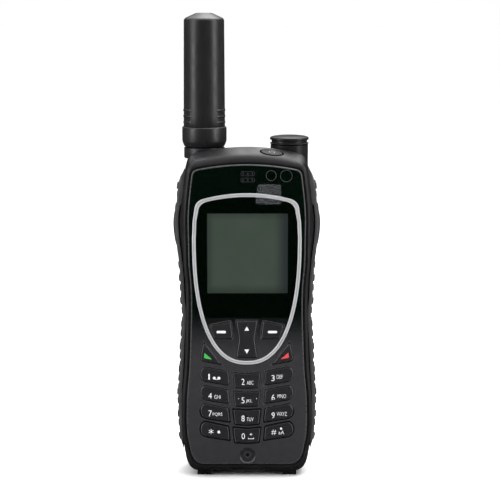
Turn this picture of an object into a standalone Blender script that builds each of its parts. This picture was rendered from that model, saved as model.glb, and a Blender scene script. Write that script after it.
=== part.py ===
"""A rugged satellite phone: case, keypad, swivelling antenna, emergency button, battery and insides.

It stands upright: X is to the right, the front faces -Y, Z is up, and the feet rest on Z = 0.
Sizes below are in millimetres; MM turns them into metres when a mesh is made.
"""

import math

import bmesh
import bpy
from mathutils import Matrix, Vector

MM = 0.001

# Clearances
GAP = 0.3
KEY_GAP = 0.35
SHAFT_GAP = 0.3
TURN_GAP = 0.25

# Layers through the depth
DEPTH = 27.4
FILM_Y = -13.5
RING_Y = -13.25
PLATE_Y = -13.0
PLATE_BACK = -11.5
RIM_Y = -12.2
TOP_BACK_Y = -4.8
PART_LINE_Y = 0.5
REAR_FRONT_Y = 1.5
BAY_FLOOR_Y = 2.7
BACK_Y = FILM_Y + DEPTH
REAR_BACK_Y = BACK_Y - 0.7
BEYOND_Y = BACK_Y + 2.5

# Heights build up from the lowest row of keys to the top of the case
LOW_ROW_Z = 19.25
ROW_PITCH = 7.8
TOP_ROW_Z = LOW_ROW_Z + 3 * ROW_PITCH
CLUSTER_Z = TOP_ROW_Z + 15.85
WINDOW_LOW_Z = CLUSTER_Z + 9.2
LCD_WIDTH = 33.2
LCD_HEIGHT = 33.2
LCD_CENTRE_Z = WINDOW_LOW_Z + 10.05 + LCD_HEIGHT / 2
LCD_FRAME = 2.0
RING_APEX = LCD_CENTRE_Z + LCD_HEIGHT / 2 + 8.15
CASE_APEX = RING_APEX + 18.2
PLATE_APEX = CASE_APEX - 6.4
REAR_TOP = CASE_APEX - 16.0

# Case: (height, how far inside the widest point) stations up the side
HALF_WIDTH = 27.9
CASE_SIDE = [
    (1.8, 4.7), (9.4, 1.9), (16.9, 1.5), (25.2, 1.2), (33.5, 1.0), (TOP_ROW_Z + 3.1, 1.8),
    (CLUSTER_Z - 1.4, 2.3), (WINDOW_LOW_Z - 0.8, 3.0), (WINDOW_LOW_Z + 7.7, 2.4),
    (CASE_APEX - 54.2, 2.1), (CASE_APEX - 44.8, 1.3), (CASE_APEX - 37.8, 0.4), (CASE_APEX - 29.8, 0.0),
    (CASE_APEX - 22.8, 0.8), (CASE_APEX - 16.3, 1.5), (CASE_APEX - 10.0, 2.4), (CASE_APEX - 2.8, 4.1),
]
CASE_SIDE = [(z, HALF_WIDTH - inside) for z, inside in CASE_SIDE]
CASE_CROWN = 87.0
CASE_BASE = 1.9
CASE_WALL = 1.8
FOOT_IN = 15.0
FOOT_OUT = 20.7

# Front plate
PLATE_BASE = 5.55
PLATE_SIDE = [
    (5.55, 8.6), (14.7, 3.75), (31.9, 3.0), (TOP_ROW_Z + 3.1, 4.1), (CLUSTER_Z - 1.4, 4.55),
    (WINDOW_LOW_Z + 3.3, 4.9), (WINDOW_LOW_Z + 12.8, 4.75), (CASE_APEX - 47.8, 4.0), (CASE_APEX - 37.6, 3.8),
    (CASE_APEX - 29.0, 3.7), (CASE_APEX - 22.6, 4.05), (CASE_APEX - 16.2, 4.7), (CASE_APEX - 6.8, 5.9),
]
PLATE_SIDE = [(z, HALF_WIDTH - inside) for z, inside in PLATE_SIDE]
PLATE_CROWN = 100.0

# Bezel ring and earpiece
RING_HALF = HALF_WIDTH - 5.55
RING_CENTRE_Z = CASE_APEX - 36.8
RING_DROP = RING_CENTRE_Z - CLUSTER_Z + 10.45
RING_POWER = 2.4
RING_CROWN = 67.0
RING_WIDTH = 1.5
EARPIECE_X = 0.3
EARPIECE_Z = PLATE_APEX - 5.1
EARPIECE_HALF_X = 2.65
SLOT_PITCH = 2.6
SLOT_HALF_Z = 0.85
MIC_X = 0.3
MIC_Z = 9.4
MIC_HOLE_R = 0.7

# Keys: outlines about the middle of their row or cluster; row heights are in key heights
KEY_BRIDGE = 1.0
KEY_HEIGHT = ROW_PITCH - KEY_BRIDGE
KEY_TRAVEL = 0.5
KEY_TOP_Y = -12.9
KEY_BACK_Y = -10.3
SIDE_KEY_OUT = RING_HALF - 2.85
SIDE_SHAPE = [
    (7.5, 0.3664), (SIDE_KEY_OUT - 2.0, 0.687), (SIDE_KEY_OUT - 0.5, 0.4885), (SIDE_KEY_OUT, 0.1832),
    (SIDE_KEY_OUT - 0.5, -0.1221), (SIDE_KEY_OUT - 2.3, -0.3053), (6.9, -0.5496),
]
MIDDLE_SHAPE = [(-5.9, 0.3206), (0.0, 0.229), (5.9, 0.3206), (5.1, -0.687), (0.0, -0.7328), (-5.1, -0.687)]
SOFT_SHAPE = [(6.5, 7.85), (15.6, 6.0), (13.5, 0.1), (5.6, 0.0)]
CALL_SHAPE = [
    (SIDE_KEY_OUT - 1.7, -0.7), (SIDE_KEY_OUT - 0.1, -7.65), (SIDE_KEY_OUT - 1.0, -9.3), (SIDE_KEY_OUT - 9.5, -10.85),
    (SIDE_KEY_OUT - 5.7, -5.65),
]
NAV_SHAPE = [(-4.6, 7.95), (4.6, 7.95), (3.3, 0.4), (4.5, -7.75), (-4.5, -7.75), (-3.3, 0.4)]
SIDE_OPENING = [(x, TOP_ROW_Z + share * KEY_HEIGHT) for x, share in SIDE_SHAPE]
MIDDLE_OPENING = [(x, TOP_ROW_Z + share * KEY_HEIGHT) for x, share in MIDDLE_SHAPE]
SOFT_OPENING = [(x, CLUSTER_Z + rise) for x, rise in SOFT_SHAPE]
CALL_OPENING = [(x, CLUSTER_Z + rise) for x, rise in CALL_SHAPE]
NAV_OPENING = [(x, CLUSTER_Z + rise) for x, rise in NAV_SHAPE]
MAT_FRONT_Y = -9.6
MAT_BACK_Y = -8.6

# Antenna: a mast on a tilting neck, with a sleeve that slides on it
RADOME_LOW_R = 8.6
RADOME_TOP_R = 8.3
RADOME_LENGTH = 46.5
COLLAR_R = RADOME_LOW_R + 0.6
NECK_R = COLLAR_R - 0.75
ANT_X = COLLAR_R - HALF_WIDTH + 1.15
ANT_Y = TOP_BACK_Y + COLLAR_R + GAP
TILT_Z = CASE_APEX - 9.8
EAR_R = 4.0
TONGUE_DEPTH = 8.0
EAR_DEPTH = 3.95
NECK_LOW_Z = TILT_Z + 4.4
NECK_TOP_Z = NECK_LOW_Z + 4.5
COLLAR_LOW_Z = NECK_TOP_Z + 0.4
COLLAR_TOP_Z = COLLAR_LOW_Z + 8.1
RADOME_TOP_Z = COLLAR_TOP_Z + RADOME_LENGTH
MAST_R = 3.6
MAST_LOW_Z = NECK_LOW_Z + 1.5
MAST_TOP_Z = RADOME_TOP_Z - 7.0
ELEMENT_WALL = 1.9
PIN_R = 1.5

# Emergency button and its swinging cover
SOS_BUTTON_R = 4.7
SOS_BARREL_R = SOS_BUTTON_R + 3.05
SOS_FLANGE_R = SOS_BARREL_R + 0.25
SOS_X = HALF_WIDTH - SOS_BARREL_R - 2.55
SOS_Y = TOP_BACK_Y + SOS_BARREL_R + 0.45
SOS_BARREL_TOP_Z = CASE_APEX + 0.3
SOS_BARREL_LOW_Z = SOS_BARREL_TOP_Z - 9.1
SOS_TOP_Z = SOS_BARREL_TOP_Z + 3.8
SOS_SEAT_Z = SOS_BARREL_TOP_Z - 6.1
COVER_PIN_R = 0.8
COVER_BOSS_R = COVER_PIN_R + 0.95
COVER_PIN_REACH = SOS_FLANGE_R + 1.36
COVER_PIN_TURN = math.radians(59.9)
COVER_PIN_X = SOS_X + COVER_PIN_REACH * math.cos(COVER_PIN_TURN)
COVER_PIN_Y = SOS_Y + COVER_PIN_REACH * math.sin(COVER_PIN_TURN)

# Power button
POWER_X = 10.2
POWER_Y = -8.0
POWER_Z = CASE_APEX - 2.1
POWER_HALF = (4.4, 1.95)
POWER_LEAN = (30.0, 6.7)

# Side keys
SIDE_KEY_Y = -3.5
SIDE_KEY_Z = REAR_TOP - 16.9
SIDE_KEY_HALF_LENGTH = 9.4
SIDE_KEY_HALF_DEPTH = 2.8
STEM_HALF_Z = SIDE_KEY_HALF_LENGTH - 2.5
STEM_HALF_Y = SIDE_KEY_HALF_DEPTH - 1.2
STEM_GAP = 0.5

# Grips
GRIP_LOW_Z = 11.0
GRIP_TOP_Z = SOS_BARREL_LOW_Z - 0.1
GRIP_HALF_DEPTH = 8.5
GRIP_SKIN = 1.9
STUD_RISE = 0.5
STUD_PITCH = 9.6

# Battery, its latch and contacts
BATTERY_LOW_Z = 8.5
BATTERY_TOP_Z = REAR_TOP - 25.3
BATTERY_FRONT_Y = BAY_FLOOR_Y + GAP
BAY_MARGIN = 3.2
LATCH_HALF_X = 6.0
LATCH_LOW_Z = BATTERY_TOP_Z + 1.7
LATCH_HEIGHT = 5.6
LATCH_TRAVEL = 3.0
LATCH_FRONT_Y = REAR_BACK_Y - 1.6
CONTACT_Z = BATTERY_TOP_Z - 4.5
CONTACT_HALF_X = 7.0
CONTACT_HALF_Z = 2.0

# Insides
TOP_BAY_LEFT = ANT_X + 0.6
TOP_BAY_RIGHT = SOS_X - 0.8
TOP_BAY_LOW_Z = REAR_TOP - 15.0
TOP_BAY_HIGH_Z = REAR_TOP - 2.0
TOP_BAY_BACK_Y = REAR_BACK_Y - 2.0
SPEAKER_X = -8.0
SPEAKER_Z = REAR_TOP - 9.3
SPEAKER_R = 6.2
GPS_X = 8.6
GPS_HALF = 6.0
SIM_Z = BATTERY_TOP_Z - 25.5
SIM_HALF_X = 13.7
SIM_HALF_Z = 9.0
BOARD_FRONT_Y = -8.2
BOARD_BACK_Y = -7.3

# Case screws: (x, height)
SCREW_X = HALF_WIDTH - 8.6
SCREW_R = 0.9
SCREW_HEAD_R = 1.9
SCREW_SEAT_Y = REAR_BACK_Y - 1.5
SCREWS = [(-SCREW_X, REAR_TOP - 16.8), (SCREW_X, REAR_TOP - 16.8), (-13.0, 5.1), (13.0, 5.1)]

SEGMENTS = 32

for item in list(bpy.data.objects):
    bpy.data.objects.remove(item, do_unlink=True)


# Materials

COLOURS = {
    "case_paint": ((0.045, 0.045, 0.05), 0.42, 0.1),
    "plate_plastic": ((0.03, 0.03, 0.034), 0.45, 0.0),
    "grip_rubber": ((0.10, 0.10, 0.105), 0.7, 0.0),
    "ring_metal": ((0.62, 0.63, 0.65), 0.28, 0.9),
    "window_glass": ((0.02, 0.024, 0.022), 0.08, 0.0),
    "lcd_grey": ((0.05, 0.06, 0.05), 0.3, 0.0),
    "key_plastic": ((0.07, 0.07, 0.078), 0.4, 0.0),
    "antenna_plastic": ((0.05, 0.05, 0.055), 0.5, 0.0),
    "inner_plastic": ((0.12, 0.12, 0.13), 0.55, 0.0),
    "board_green": ((0.02, 0.12, 0.06), 0.5, 0.0),
    "tin_plate": ((0.7, 0.7, 0.7), 0.3, 1.0),
    "gold_contact": ((0.85, 0.62, 0.25), 0.3, 1.0),
    "pin_steel": ((0.55, 0.55, 0.56), 0.35, 1.0),
    "ceramic_buff": ((0.72, 0.66, 0.52), 0.6, 0.0),
    "silicone": ((0.25, 0.25, 0.26), 0.65, 0.0),
    "film_clear": ((0.8, 0.82, 0.84), 0.15, 0.0),
    "emergency_red": ((0.6, 0.03, 0.02), 0.4, 0.0),
    "card_white": ((0.8, 0.8, 0.82), 0.5, 0.0),
}
MATERIALS = {}
for slot, (colour, roughness, metallic) in COLOURS.items():
    material = bpy.data.materials.new(slot)
    material.use_nodes = True
    shader = material.node_tree.nodes["Principled BSDF"]
    shader.inputs["Base Color"].default_value = (*colour, 1.0)
    shader.inputs["Roughness"].default_value = roughness
    shader.inputs["Metallic"].default_value = metallic
    MATERIALS[slot] = material


# Curves in the front plane, as (x, z) pairs

def width_at(stations, z):
    """Half width at a height, on a smooth curve through the stations."""
    if z <= stations[0][0]:
        return stations[0][1]
    if z >= stations[-1][0]:
        return stations[-1][1]
    slopes = []
    for i in range(len(stations)):
        low = stations[max(i - 1, 0)]
        high = stations[min(i + 1, len(stations) - 1)]
        slopes.append((high[1] - low[1]) / (high[0] - low[0]))
    for i in range(len(stations) - 1):
        z0, w0 = stations[i]
        z1, w1 = stations[i + 1]
        if z <= z1:
            break
    span = z1 - z0
    t = (z - z0) / span
    a = (1 + 2 * t) * (1 - t) ** 2 * w0 + t * (1 - t) ** 2 * span * slopes[i]
    return a + t * t * (3 - 2 * t) * w1 + t * t * (t - 1) * span * slopes[i + 1]


def bezier(start, control, end, steps):
    """Points after the start and up to the end of a quadratic curve."""
    points = []
    for i in range(1, steps + 1):
        t = i / steps
        x = (1 - t) ** 2 * start[0] + 2 * t * (1 - t) * control[0] + t * t * end[0]
        z = (1 - t) ** 2 * start[1] + 2 * t * (1 - t) * control[1] + t * t * end[1]
        points.append((x, z))
    return points


def side_outline(stations, grow, apex, crown, base, shoulder=3.0, heel=7.0, start_x=0.0):
    """Right half of a case outline, from the bottom to the top, starting and ending at start_x."""
    corner_z = apex
    for _ in range(8):
        corner_x = width_at(stations, corner_z) + grow
        corner_z = apex - corner_x * corner_x / (2 * crown)
    low_z = base + heel
    low_x = width_at(stations, low_z) + grow
    points = [(start_x, base), (low_x - heel * 0.75, base)]
    points += bezier(points[-1], (low_x - heel * 0.12, base), (low_x, low_z), 5)
    high_z = corner_z - shoulder
    rises = 16
    for i in range(1, rises + 1):
        z = low_z + (high_z - low_z) * i / rises
        points.append((width_at(stations, z) + grow, z))
    in_x = corner_x - shoulder
    in_z = apex - in_x * in_x / (2 * crown)
    points += bezier(points[-1], (corner_x, corner_z), (in_x, in_z), 5)
    crossings = 5
    for i in range(1, crossings + 1):
        x = in_x + (start_x - in_x) * i / crossings
        points.append((x, apex - x * x / (2 * crown)))
    return points


def mirrored(half):
    """A whole outline from a right half that starts and ends on the centre line."""
    return half + [(-x, z) for x, z in reversed(half[1:-1])]


def case_outline(grow=0.0, apex=CASE_APEX, base=CASE_BASE, crown=CASE_CROWN):
    return mirrored(side_outline(CASE_SIDE, grow, apex, crown, base))


def rear_outline(grow=0.0, apex=REAR_TOP, base=CASE_BASE):
    return mirrored(side_outline(CASE_SIDE, grow, apex, 4000.0, base, shoulder=2.0))


def plate_outline(grow=0.0):
    half = side_outline(
        PLATE_SIDE, grow, PLATE_APEX + grow, PLATE_CROWN, PLATE_BASE - grow, shoulder=2.2, heel=8.0
    )
    return mirrored(half)


def ring_outline(inset=0.0, low_z=None):
    """Bezel ring outline: an arc over the display and a long U below it."""
    half_width = RING_HALF - inset
    drop = RING_DROP - inset
    apex = RING_APEX - inset
    corner_x = half_width - 1.2
    corner_z = apex - corner_x * corner_x / (2 * RING_CROWN)
    points = []
    steps = 20
    for i in range(steps + 1):
        angle = math.pi / 2 * i / steps
        x = half_width * math.sin(angle) ** (2 / RING_POWER)
        z = RING_CENTRE_Z - drop * math.cos(angle) ** (2 / RING_POWER)
        if low_z is None or z > low_z:
            points.append((x, z))
    if low_z is not None:
        reach = (RING_CENTRE_Z - low_z) / drop
        points = [(0.0, low_z), (half_width * (1 - reach**RING_POWER) ** (1 / RING_POWER), low_z)] + points
    points.append((half_width - 0.3, RING_CENTRE_Z + 7.0))
    side = (half_width - 1.0, corner_z - 3.5)
    points.append(side)
    in_x = corner_x - 3.5
    points += bezier(side, (corner_x, corner_z), (in_x, apex - in_x * in_x / (2 * RING_CROWN)), 4)
    for i in range(1, 5):
        x = in_x * (1 - i / 4)
        points.append((x, apex - x * x / (2 * RING_CROWN)))
    return mirrored(points)


def shrunk(points, inset):
    """A convex or gently waisted outline drawn in by the same amount on every side."""
    area = sum(a[0] * b[1] - b[0] * a[1] for a, b in zip(points, points[1:] + points[:1]))
    turn = 1.0 if area > 0 else -1.0
    count = len(points)
    result = []
    for i in range(count):
        before = Vector(points[i]) - Vector(points[i - 1])
        after = Vector(points[(i + 1) % count]) - Vector(points[i])
        normals = [Vector((-d.y, d.x)).normalized() * turn for d in (before, after)]
        middle = (normals[0] + normals[1]).normalized()
        step = inset / max(middle.dot(normals[0]), 0.3)
        result.append((points[i][0] + middle.x * step, points[i][1] + middle.y * step))
    return result


def softened(points, cut, steps=3):
    """The outline with every corner rounded."""
    result = []
    count = len(points)
    for i in range(count):
        here = Vector(points[i])
        ends = []
        for other in (points[i - 1], points[(i + 1) % count]):
            away = Vector(other) - here
            ends.append(here + away.normalized() * min(cut, away.length * 0.45))
        result.append(tuple(ends[0]))
        result += bezier(ends[0], here, ends[1], steps)
    return result


def flipped(points):
    return [(-x, z) for x, z in reversed(points)]


def moved(points, dx, dz):
    return [(x + dx, z + dz) for x, z in points]


# Solids, added to a bmesh in millimetres

def add_loft(mesh, rings):
    """Closed solid through rings of (y, outline), each with the same number of points."""
    rows = []
    for y, points in rings:
        rows.append([mesh.verts.new((x, y, z)) for x, z in points])
    count = len(rows[0])
    faces = [mesh.faces.new(rows[0]), mesh.faces.new(rows[-1])]
    for low, high in zip(rows, rows[1:]):
        for i in range(count):
            j = (i + 1) % count
            faces.append(mesh.faces.new((low[i], low[j], high[j], high[i])))
    return faces


def add_prism(mesh, points, y0, y1):
    return add_loft(mesh, [(y0, points), (y1, points)])


def add_tube(mesh, outer, inner, y0, y1):
    """Band between two outlines with the same number of points."""
    rows = []
    for y, points in ((y0, outer), (y1, outer), (y1, inner), (y0, inner)):
        rows.append([mesh.verts.new((x, y, z)) for x, z in points])
    count = len(outer)
    for a, b in zip(rows, rows[1:] + rows[:1]):
        for i in range(count):
            j = (i + 1) % count
            mesh.faces.new((a[i], a[j], b[j], b[i]))


def add_box(mesh, low, high):
    points = [(low[0], low[2]), (high[0], low[2]), (high[0], high[2]), (low[0], high[2])]
    return add_prism(mesh, points, low[1], high[1])


def add_lathe(mesh, profile, place, segments=SEGMENTS):
    """Solid of revolution from (radius, height) pairs that start and end on the local Z axis."""
    rows = []
    for radius, height in profile:
        if radius < 1e-6:
            rows.append([mesh.verts.new(place @ Vector((0.0, 0.0, height)))])
            continue
        row = []
        for i in range(segments):
            angle = 2 * math.pi * i / segments
            point = Vector((radius * math.cos(angle), radius * math.sin(angle), height))
            row.append(mesh.verts.new(place @ point))
        rows.append(row)
    for low, high in zip(rows, rows[1:]):
        for i in range(segments):
            j = (i + 1) % segments
            if len(low) == 1:
                mesh.faces.new((low[0], high[i], high[j]))
            elif len(high) == 1:
                mesh.faces.new((low[i], low[j], high[0]))
            else:
                mesh.faces.new((low[i], low[j], high[j], high[i]))


def add_sleeve(mesh, profile, place, segments=SEGMENTS):
    """Ring of revolution from a closed loop of (radius, height) pairs, all off the axis."""
    rows = []
    for radius, height in profile:
        row = []
        for i in range(segments):
            angle = 2 * math.pi * i / segments
            point = Vector((radius * math.cos(angle), radius * math.sin(angle), height))
            row.append(mesh.verts.new(place @ point))
        rows.append(row)
    for low, high in zip(rows, rows[1:] + rows[:1]):
        for i in range(segments):
            j = (i + 1) % segments
            mesh.faces.new((low[i], low[j], high[j], high[i]))


def upright(x, y, z=0.0):
    return Matrix.Translation((x, y, z))


def facing_back(x, z, y=0.0):
    """Local Z along world +Y."""
    return Matrix.Translation((x, y, z)) @ Matrix.Rotation(-math.pi / 2, 4, "X")


def disc(radius, low, high):
    return [(0.0, low), (radius, low), (radius, high), (0.0, high)]


def make(name, slot, build, origin=(0.0, 0.0, 0.0), smooth=False, parent=None, rotation=None):
    """Object from a function that fills a bmesh; its origin is put where asked."""
    mesh = bmesh.new()
    build(mesh)
    turn = rotation or Matrix.Identity(4)
    if rotation is None:
        bmesh.ops.translate(mesh, verts=mesh.verts, vec=-Vector(origin))
    bmesh.ops.scale(mesh, verts=mesh.verts, vec=(MM, MM, MM))
    bmesh.ops.recalc_face_normals(mesh, faces=mesh.faces)
    data = bpy.data.meshes.new(name)
    mesh.to_mesh(data)
    mesh.free()
    if smooth:
        data.shade_smooth()
    obj = bpy.data.objects.new(name, data)
    bpy.context.scene.collection.objects.link(obj)
    if slot:
        data.materials.append(MATERIALS[slot])
    obj.location = Vector(origin) * MM
    obj.rotation_euler = turn.to_euler()
    if parent:
        obj.parent = parent
        obj.location = (Vector(origin) * MM) - parent.location
    return obj


def combine(target, name, operation, build):
    """Boolean of the target with a hidden solid, made in world millimetres."""
    tool = make(name, None, build)
    tool.hide_render = True
    tool.display_type = "WIRE"
    modifier = target.modifiers.new(name, "BOOLEAN")
    modifier.operation = operation
    modifier.solver = "EXACT"
    modifier.object = tool
    return tool


def cut(target, name, build):
    return combine(target, name, "DIFFERENCE", build)


def join(target, name, build):
    return combine(target, name, "UNION", build)


# Key outlines, mirrored for the left-hand side

def key_shapes():
    """The sharp outline of every key opening and how much its corners are rounded, by key name."""
    found = {}
    rows = [
        ("key_1", "key_2", "key_3"),
        ("key_4", "key_5", "key_6"),
        ("key_7", "key_8", "key_9"),
        ("key_star", "key_0", "key_hash"),
    ]
    for row, (left, middle, right) in enumerate(rows):
        drop = -ROW_PITCH * row
        found[left] = (moved(flipped(SIDE_OPENING), 0.0, drop), 0.9)
        found[middle] = (moved(MIDDLE_OPENING, 0.0, drop), 0.9)
        found[right] = (moved(SIDE_OPENING, 0.0, drop), 0.9)
    found["soft_key_left"] = (flipped(SOFT_OPENING), 1.2)
    found["soft_key_right"] = (SOFT_OPENING, 1.2)
    found["call_key"] = (flipped(CALL_OPENING), 1.0)
    found["end_key"] = (CALL_OPENING, 1.0)
    found["nav_rocker"] = (NAV_OPENING, 1.0)
    return found


KEY_SHAPES = key_shapes()


def key_outline(name, inset):
    points, rounding = KEY_SHAPES[name]
    return softened(shrunk(points, inset), rounding)


# Front frame

def front_body(mesh):
    plate_half = side_outline(PLATE_SIDE, 0.9, PLATE_APEX + 0.8, PLATE_CROWN, PLATE_BASE - 1.1, shoulder=2.6, heel=8.0)
    lip_half = side_outline(PLATE_SIDE, 2.0, PLATE_APEX + 2.6, 94.0, PLATE_BASE - 2.3, shoulder=3.0, heel=7.5)
    add_loft(
        mesh,
        [
            (RIM_Y, mirrored(plate_half)),
            (-11.4, mirrored(lip_half)),
            (-8.4, case_outline(-0.3, CASE_APEX - 1.6)),
            (-6.2, case_outline(0.0, CASE_APEX - 0.5)),
            (TOP_BACK_Y, case_outline()),
            (PART_LINE_Y, case_outline()),
        ],
    )


front_frame = make("front_frame", "case_paint", front_body, smooth=True)
cut(
    front_frame,
    "cut_top_back",
    lambda m: add_box(m, (-60.0, TOP_BACK_Y, REAR_TOP - 0.8), (60.0, 3.0, CASE_APEX + 15.0)),
)


def front_cavity(mesh):
    shallow = side_outline(PLATE_SIDE, -1.0, PLATE_APEX - 1.0, PLATE_CROWN, PLATE_BASE + 1.1, shoulder=3.0, heel=7.0)
    add_loft(mesh, [(-10.1, mirrored(shallow)), (-6.3, case_outline(-2.2, CASE_APEX - 3.6, CASE_BASE + 2.0))])


cut(front_frame, "cut_front_cavity", front_cavity)
cut(
    front_frame,
    "cut_main_cavity",
    lambda m: add_prism(m, rear_outline(-CASE_WALL, REAR_TOP - 2.4, CASE_BASE + CASE_WALL), -6.9, 2.0),
)
cut(
    front_frame,
    "cut_plate_pocket",
    lambda m: add_prism(m, plate_outline(KEY_GAP), -15.0, PLATE_BACK + 0.2),
)
cut(
    front_frame,
    "cut_plate_back",
    lambda m: add_prism(m, plate_outline(-1.8), -12.0, -9.0),
)


def ear(mesh, y0, y1):
    """Hinge ear: a post with a round top about the tilt axis."""
    foot = REAR_TOP - 1.6
    points = [(EAR_R, foot)]
    steps = 12
    for i in range(steps + 1):
        angle = math.pi * i / steps
        points.append((EAR_R * math.cos(angle), TILT_Z + EAR_R * math.sin(angle)))
    points.append((-EAR_R, foot))
    add_prism(mesh, moved(points, ANT_X, 0.0), y0, y1)


TONGUE_FRONT = ANT_Y - TONGUE_DEPTH / 2
TONGUE_BACK = ANT_Y + TONGUE_DEPTH / 2
FRONT_EAR_BACK = TONGUE_FRONT - GAP
REAR_EAR_FRONT = TONGUE_BACK + GAP

join(
    front_frame,
    "add_front_ear",
    lambda m: ear(m, FRONT_EAR_BACK - EAR_DEPTH, FRONT_EAR_BACK),
)


def front_feet(mesh):
    for side in (-1, 1):
        low, high = sorted((side * FOOT_IN, side * FOOT_OUT))
        add_box(mesh, (low, -9.0, 0.0), (high, PART_LINE_Y - 0.2, 4.0))


def foot_notches(mesh):
    middle = (FOOT_IN + FOOT_OUT) / 2 - 0.35
    for side in (-1, 1):
        add_box(mesh, (side * middle - 0.6, -20.0, -1.0), (side * middle + 0.6, 8.0, 0.9))


def pin_bore(mesh):
    add_lathe(mesh, disc(PIN_R + SHAFT_GAP, -8.0, BEYOND_Y + 4.0), facing_back(ANT_X, TILT_Z), 20)


join(front_frame, "add_front_feet", front_feet)
cut(
    front_frame,
    "cut_foot_notches",
    foot_notches,
)
cut(front_frame, "cut_front_pin_bore", pin_bore)

POWER_TURN = Matrix.Rotation(math.radians(POWER_LEAN[1]), 4, "Y") @ Matrix.Rotation(
    math.radians(POWER_LEAN[0]), 4, "X"
)


def ellipse_solid(mesh, grow, levels):
    """Elliptical button in its own frame, from (height, inset) levels."""
    rows = []
    for height, inset in levels:
        row = []
        for i in range(28):
            angle = 2 * math.pi * i / 28
            x = (POWER_HALF[0] + grow - inset) * math.cos(angle)
            y = (POWER_HALF[1] + grow - inset) * math.sin(angle)
            row.append(mesh.verts.new((x, y, height)))
        rows.append(row)
    mesh.faces.new(rows[0])
    mesh.faces.new(rows[-1])
    for low, high in zip(rows, rows[1:]):
        for i in range(28):
            j = (i + 1) % 28
            mesh.faces.new((low[i], low[j], high[j], high[i]))


def power_pocket(mesh):
    ellipse_solid(mesh, KEY_GAP, [(-1.9, 0.0), (4.0, 0.0)])
    bmesh.ops.transform(mesh, matrix=POWER_TURN, verts=mesh.verts)
    bmesh.ops.translate(mesh, verts=mesh.verts, vec=(POWER_X, POWER_Y, POWER_Z))


cut(front_frame, "cut_power_pocket", power_pocket)


def side_key_openings(mesh):
    for side in (-1, 1):
        low, high = sorted((side * (HALF_WIDTH - 6.1), side * (HALF_WIDTH + 6.0)))
        add_box(
            mesh,
            (low, SIDE_KEY_Y - STEM_HALF_Y - STEM_GAP, SIDE_KEY_Z - STEM_HALF_Z - STEM_GAP),
            (high, SIDE_KEY_Y + STEM_HALF_Y + STEM_GAP, SIDE_KEY_Z + STEM_HALF_Z + STEM_GAP),
        )


cut(front_frame, "cut_side_key_openings", side_key_openings)

# Bottom socket and its hinged cover
SOCKET_X = 5.5
SOCKET_FRONT_Y = -6.4
COVER_HALF_X = 6.7
COVER_FRONT_Y = -8.4
COVER_BACK_Y = -1.5
COVER_LOW_Z = 1.0
COVER_HIGH_Z = 2.7
COVER_AXIS_Y = COVER_FRONT_Y + 0.85
COVER_AXIS_Z = (COVER_LOW_Z + COVER_HIGH_Z) / 2


def socket_hole(mesh):
    add_box(mesh, (-SOCKET_X, SOCKET_FRONT_Y, 0.0), (SOCKET_X, SOCKET_FRONT_Y + 3.2, 6.0))


def socket_recess(mesh):
    add_box(
        mesh,
        (-COVER_HALF_X - GAP, COVER_FRONT_Y - GAP, -1.0),
        (COVER_HALF_X + GAP, COVER_BACK_Y + GAP, COVER_HIGH_Z + 0.35),
    )


cut(front_frame, "cut_socket_hole", socket_hole)
cut(front_frame, "cut_socket_recess", socket_recess)


# Front plate

def plate_body(mesh):
    add_loft(
        mesh,
        [
            (PLATE_Y, plate_outline(-0.5)),
            (PLATE_Y + 0.3, plate_outline(-0.1)),
            (PLATE_Y + 0.6, plate_outline()),
            (PLATE_BACK, plate_outline()),
        ],
    )


front_plate = make("front_plate", "plate_plastic", plate_body, smooth=False)


def plate_openings(mesh):
    for key_name in KEY_SHAPES:
        add_prism(mesh, key_outline(key_name, 0.0), -14.0, -10.0)
    for height in (EARPIECE_Z - SLOT_PITCH / 2, EARPIECE_Z + SLOT_PITCH / 2):
        left = EARPIECE_X - EARPIECE_HALF_X
        right = EARPIECE_X + EARPIECE_HALF_X
        low = height - SLOT_HALF_Z
        high = height + SLOT_HALF_Z
        add_prism(mesh, softened([(left, low), (right, low), (right, high), (left, high)], 0.8), -14.0, -10.0)
    add_lathe(mesh, disc(MIC_HOLE_R, -14.0, -10.0), facing_back(MIC_X, MIC_Z), 16)
    half = LCD_WIDTH / 2 + 0.3
    low = LCD_CENTRE_Z - LCD_HEIGHT / 2 - 0.3
    high = LCD_CENTRE_Z + LCD_HEIGHT / 2 + 0.3
    window = [(-half, low), (half, low), (half, high), (-half, high)]
    add_prism(mesh, softened(window, 1.5), -14.0, -10.0)


cut(front_plate, "cut_plate_openings", plate_openings)
cut(
    front_plate,
    "cut_ring_groove",
    lambda m: add_tube(m, ring_outline(-KEY_GAP), ring_outline(RING_WIDTH + 0.25), -14.0, -12.1),
)
cut(
    front_plate,
    "cut_window_pocket",
    lambda m: add_prism(m, ring_outline(RING_WIDTH - 0.1, WINDOW_LOW_Z), -14.0, -11.95),
)


def mic_dish(mesh):
    profile = [(0.0, -12.6), (1.2, -12.6), (2.6, -12.8), (3.3, -13.01), (3.5, -14.0), (0.0, -14.0)]
    add_lathe(mesh, profile, facing_back(MIC_X, MIC_Z), 24)


cut(front_plate, "cut_mic_dish", mic_dish)

window_lens = make(
    "window_lens",
    "window_glass",
    lambda m: add_prism(m, ring_outline(RING_WIDTH + 0.3, WINDOW_LOW_Z + GAP), -12.95, -12.25),
)
bezel_ring = make(
    "bezel_ring",
    "ring_metal",
    lambda m: add_tube(m, ring_outline(), ring_outline(RING_WIDTH), RING_Y, -12.4),
)
film_low = RING_APEX - 4.5
film_high = RING_APEX + 3.8
film_outline = softened([(3.8, film_low), (14.1, film_low), (14.1, film_high), (3.8, film_high)], 1.2)
film_tab = make("film_tab", "film_clear", lambda m: add_prism(m, film_outline, FILM_Y, FILM_Y + 0.1))


# Rear housing

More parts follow.
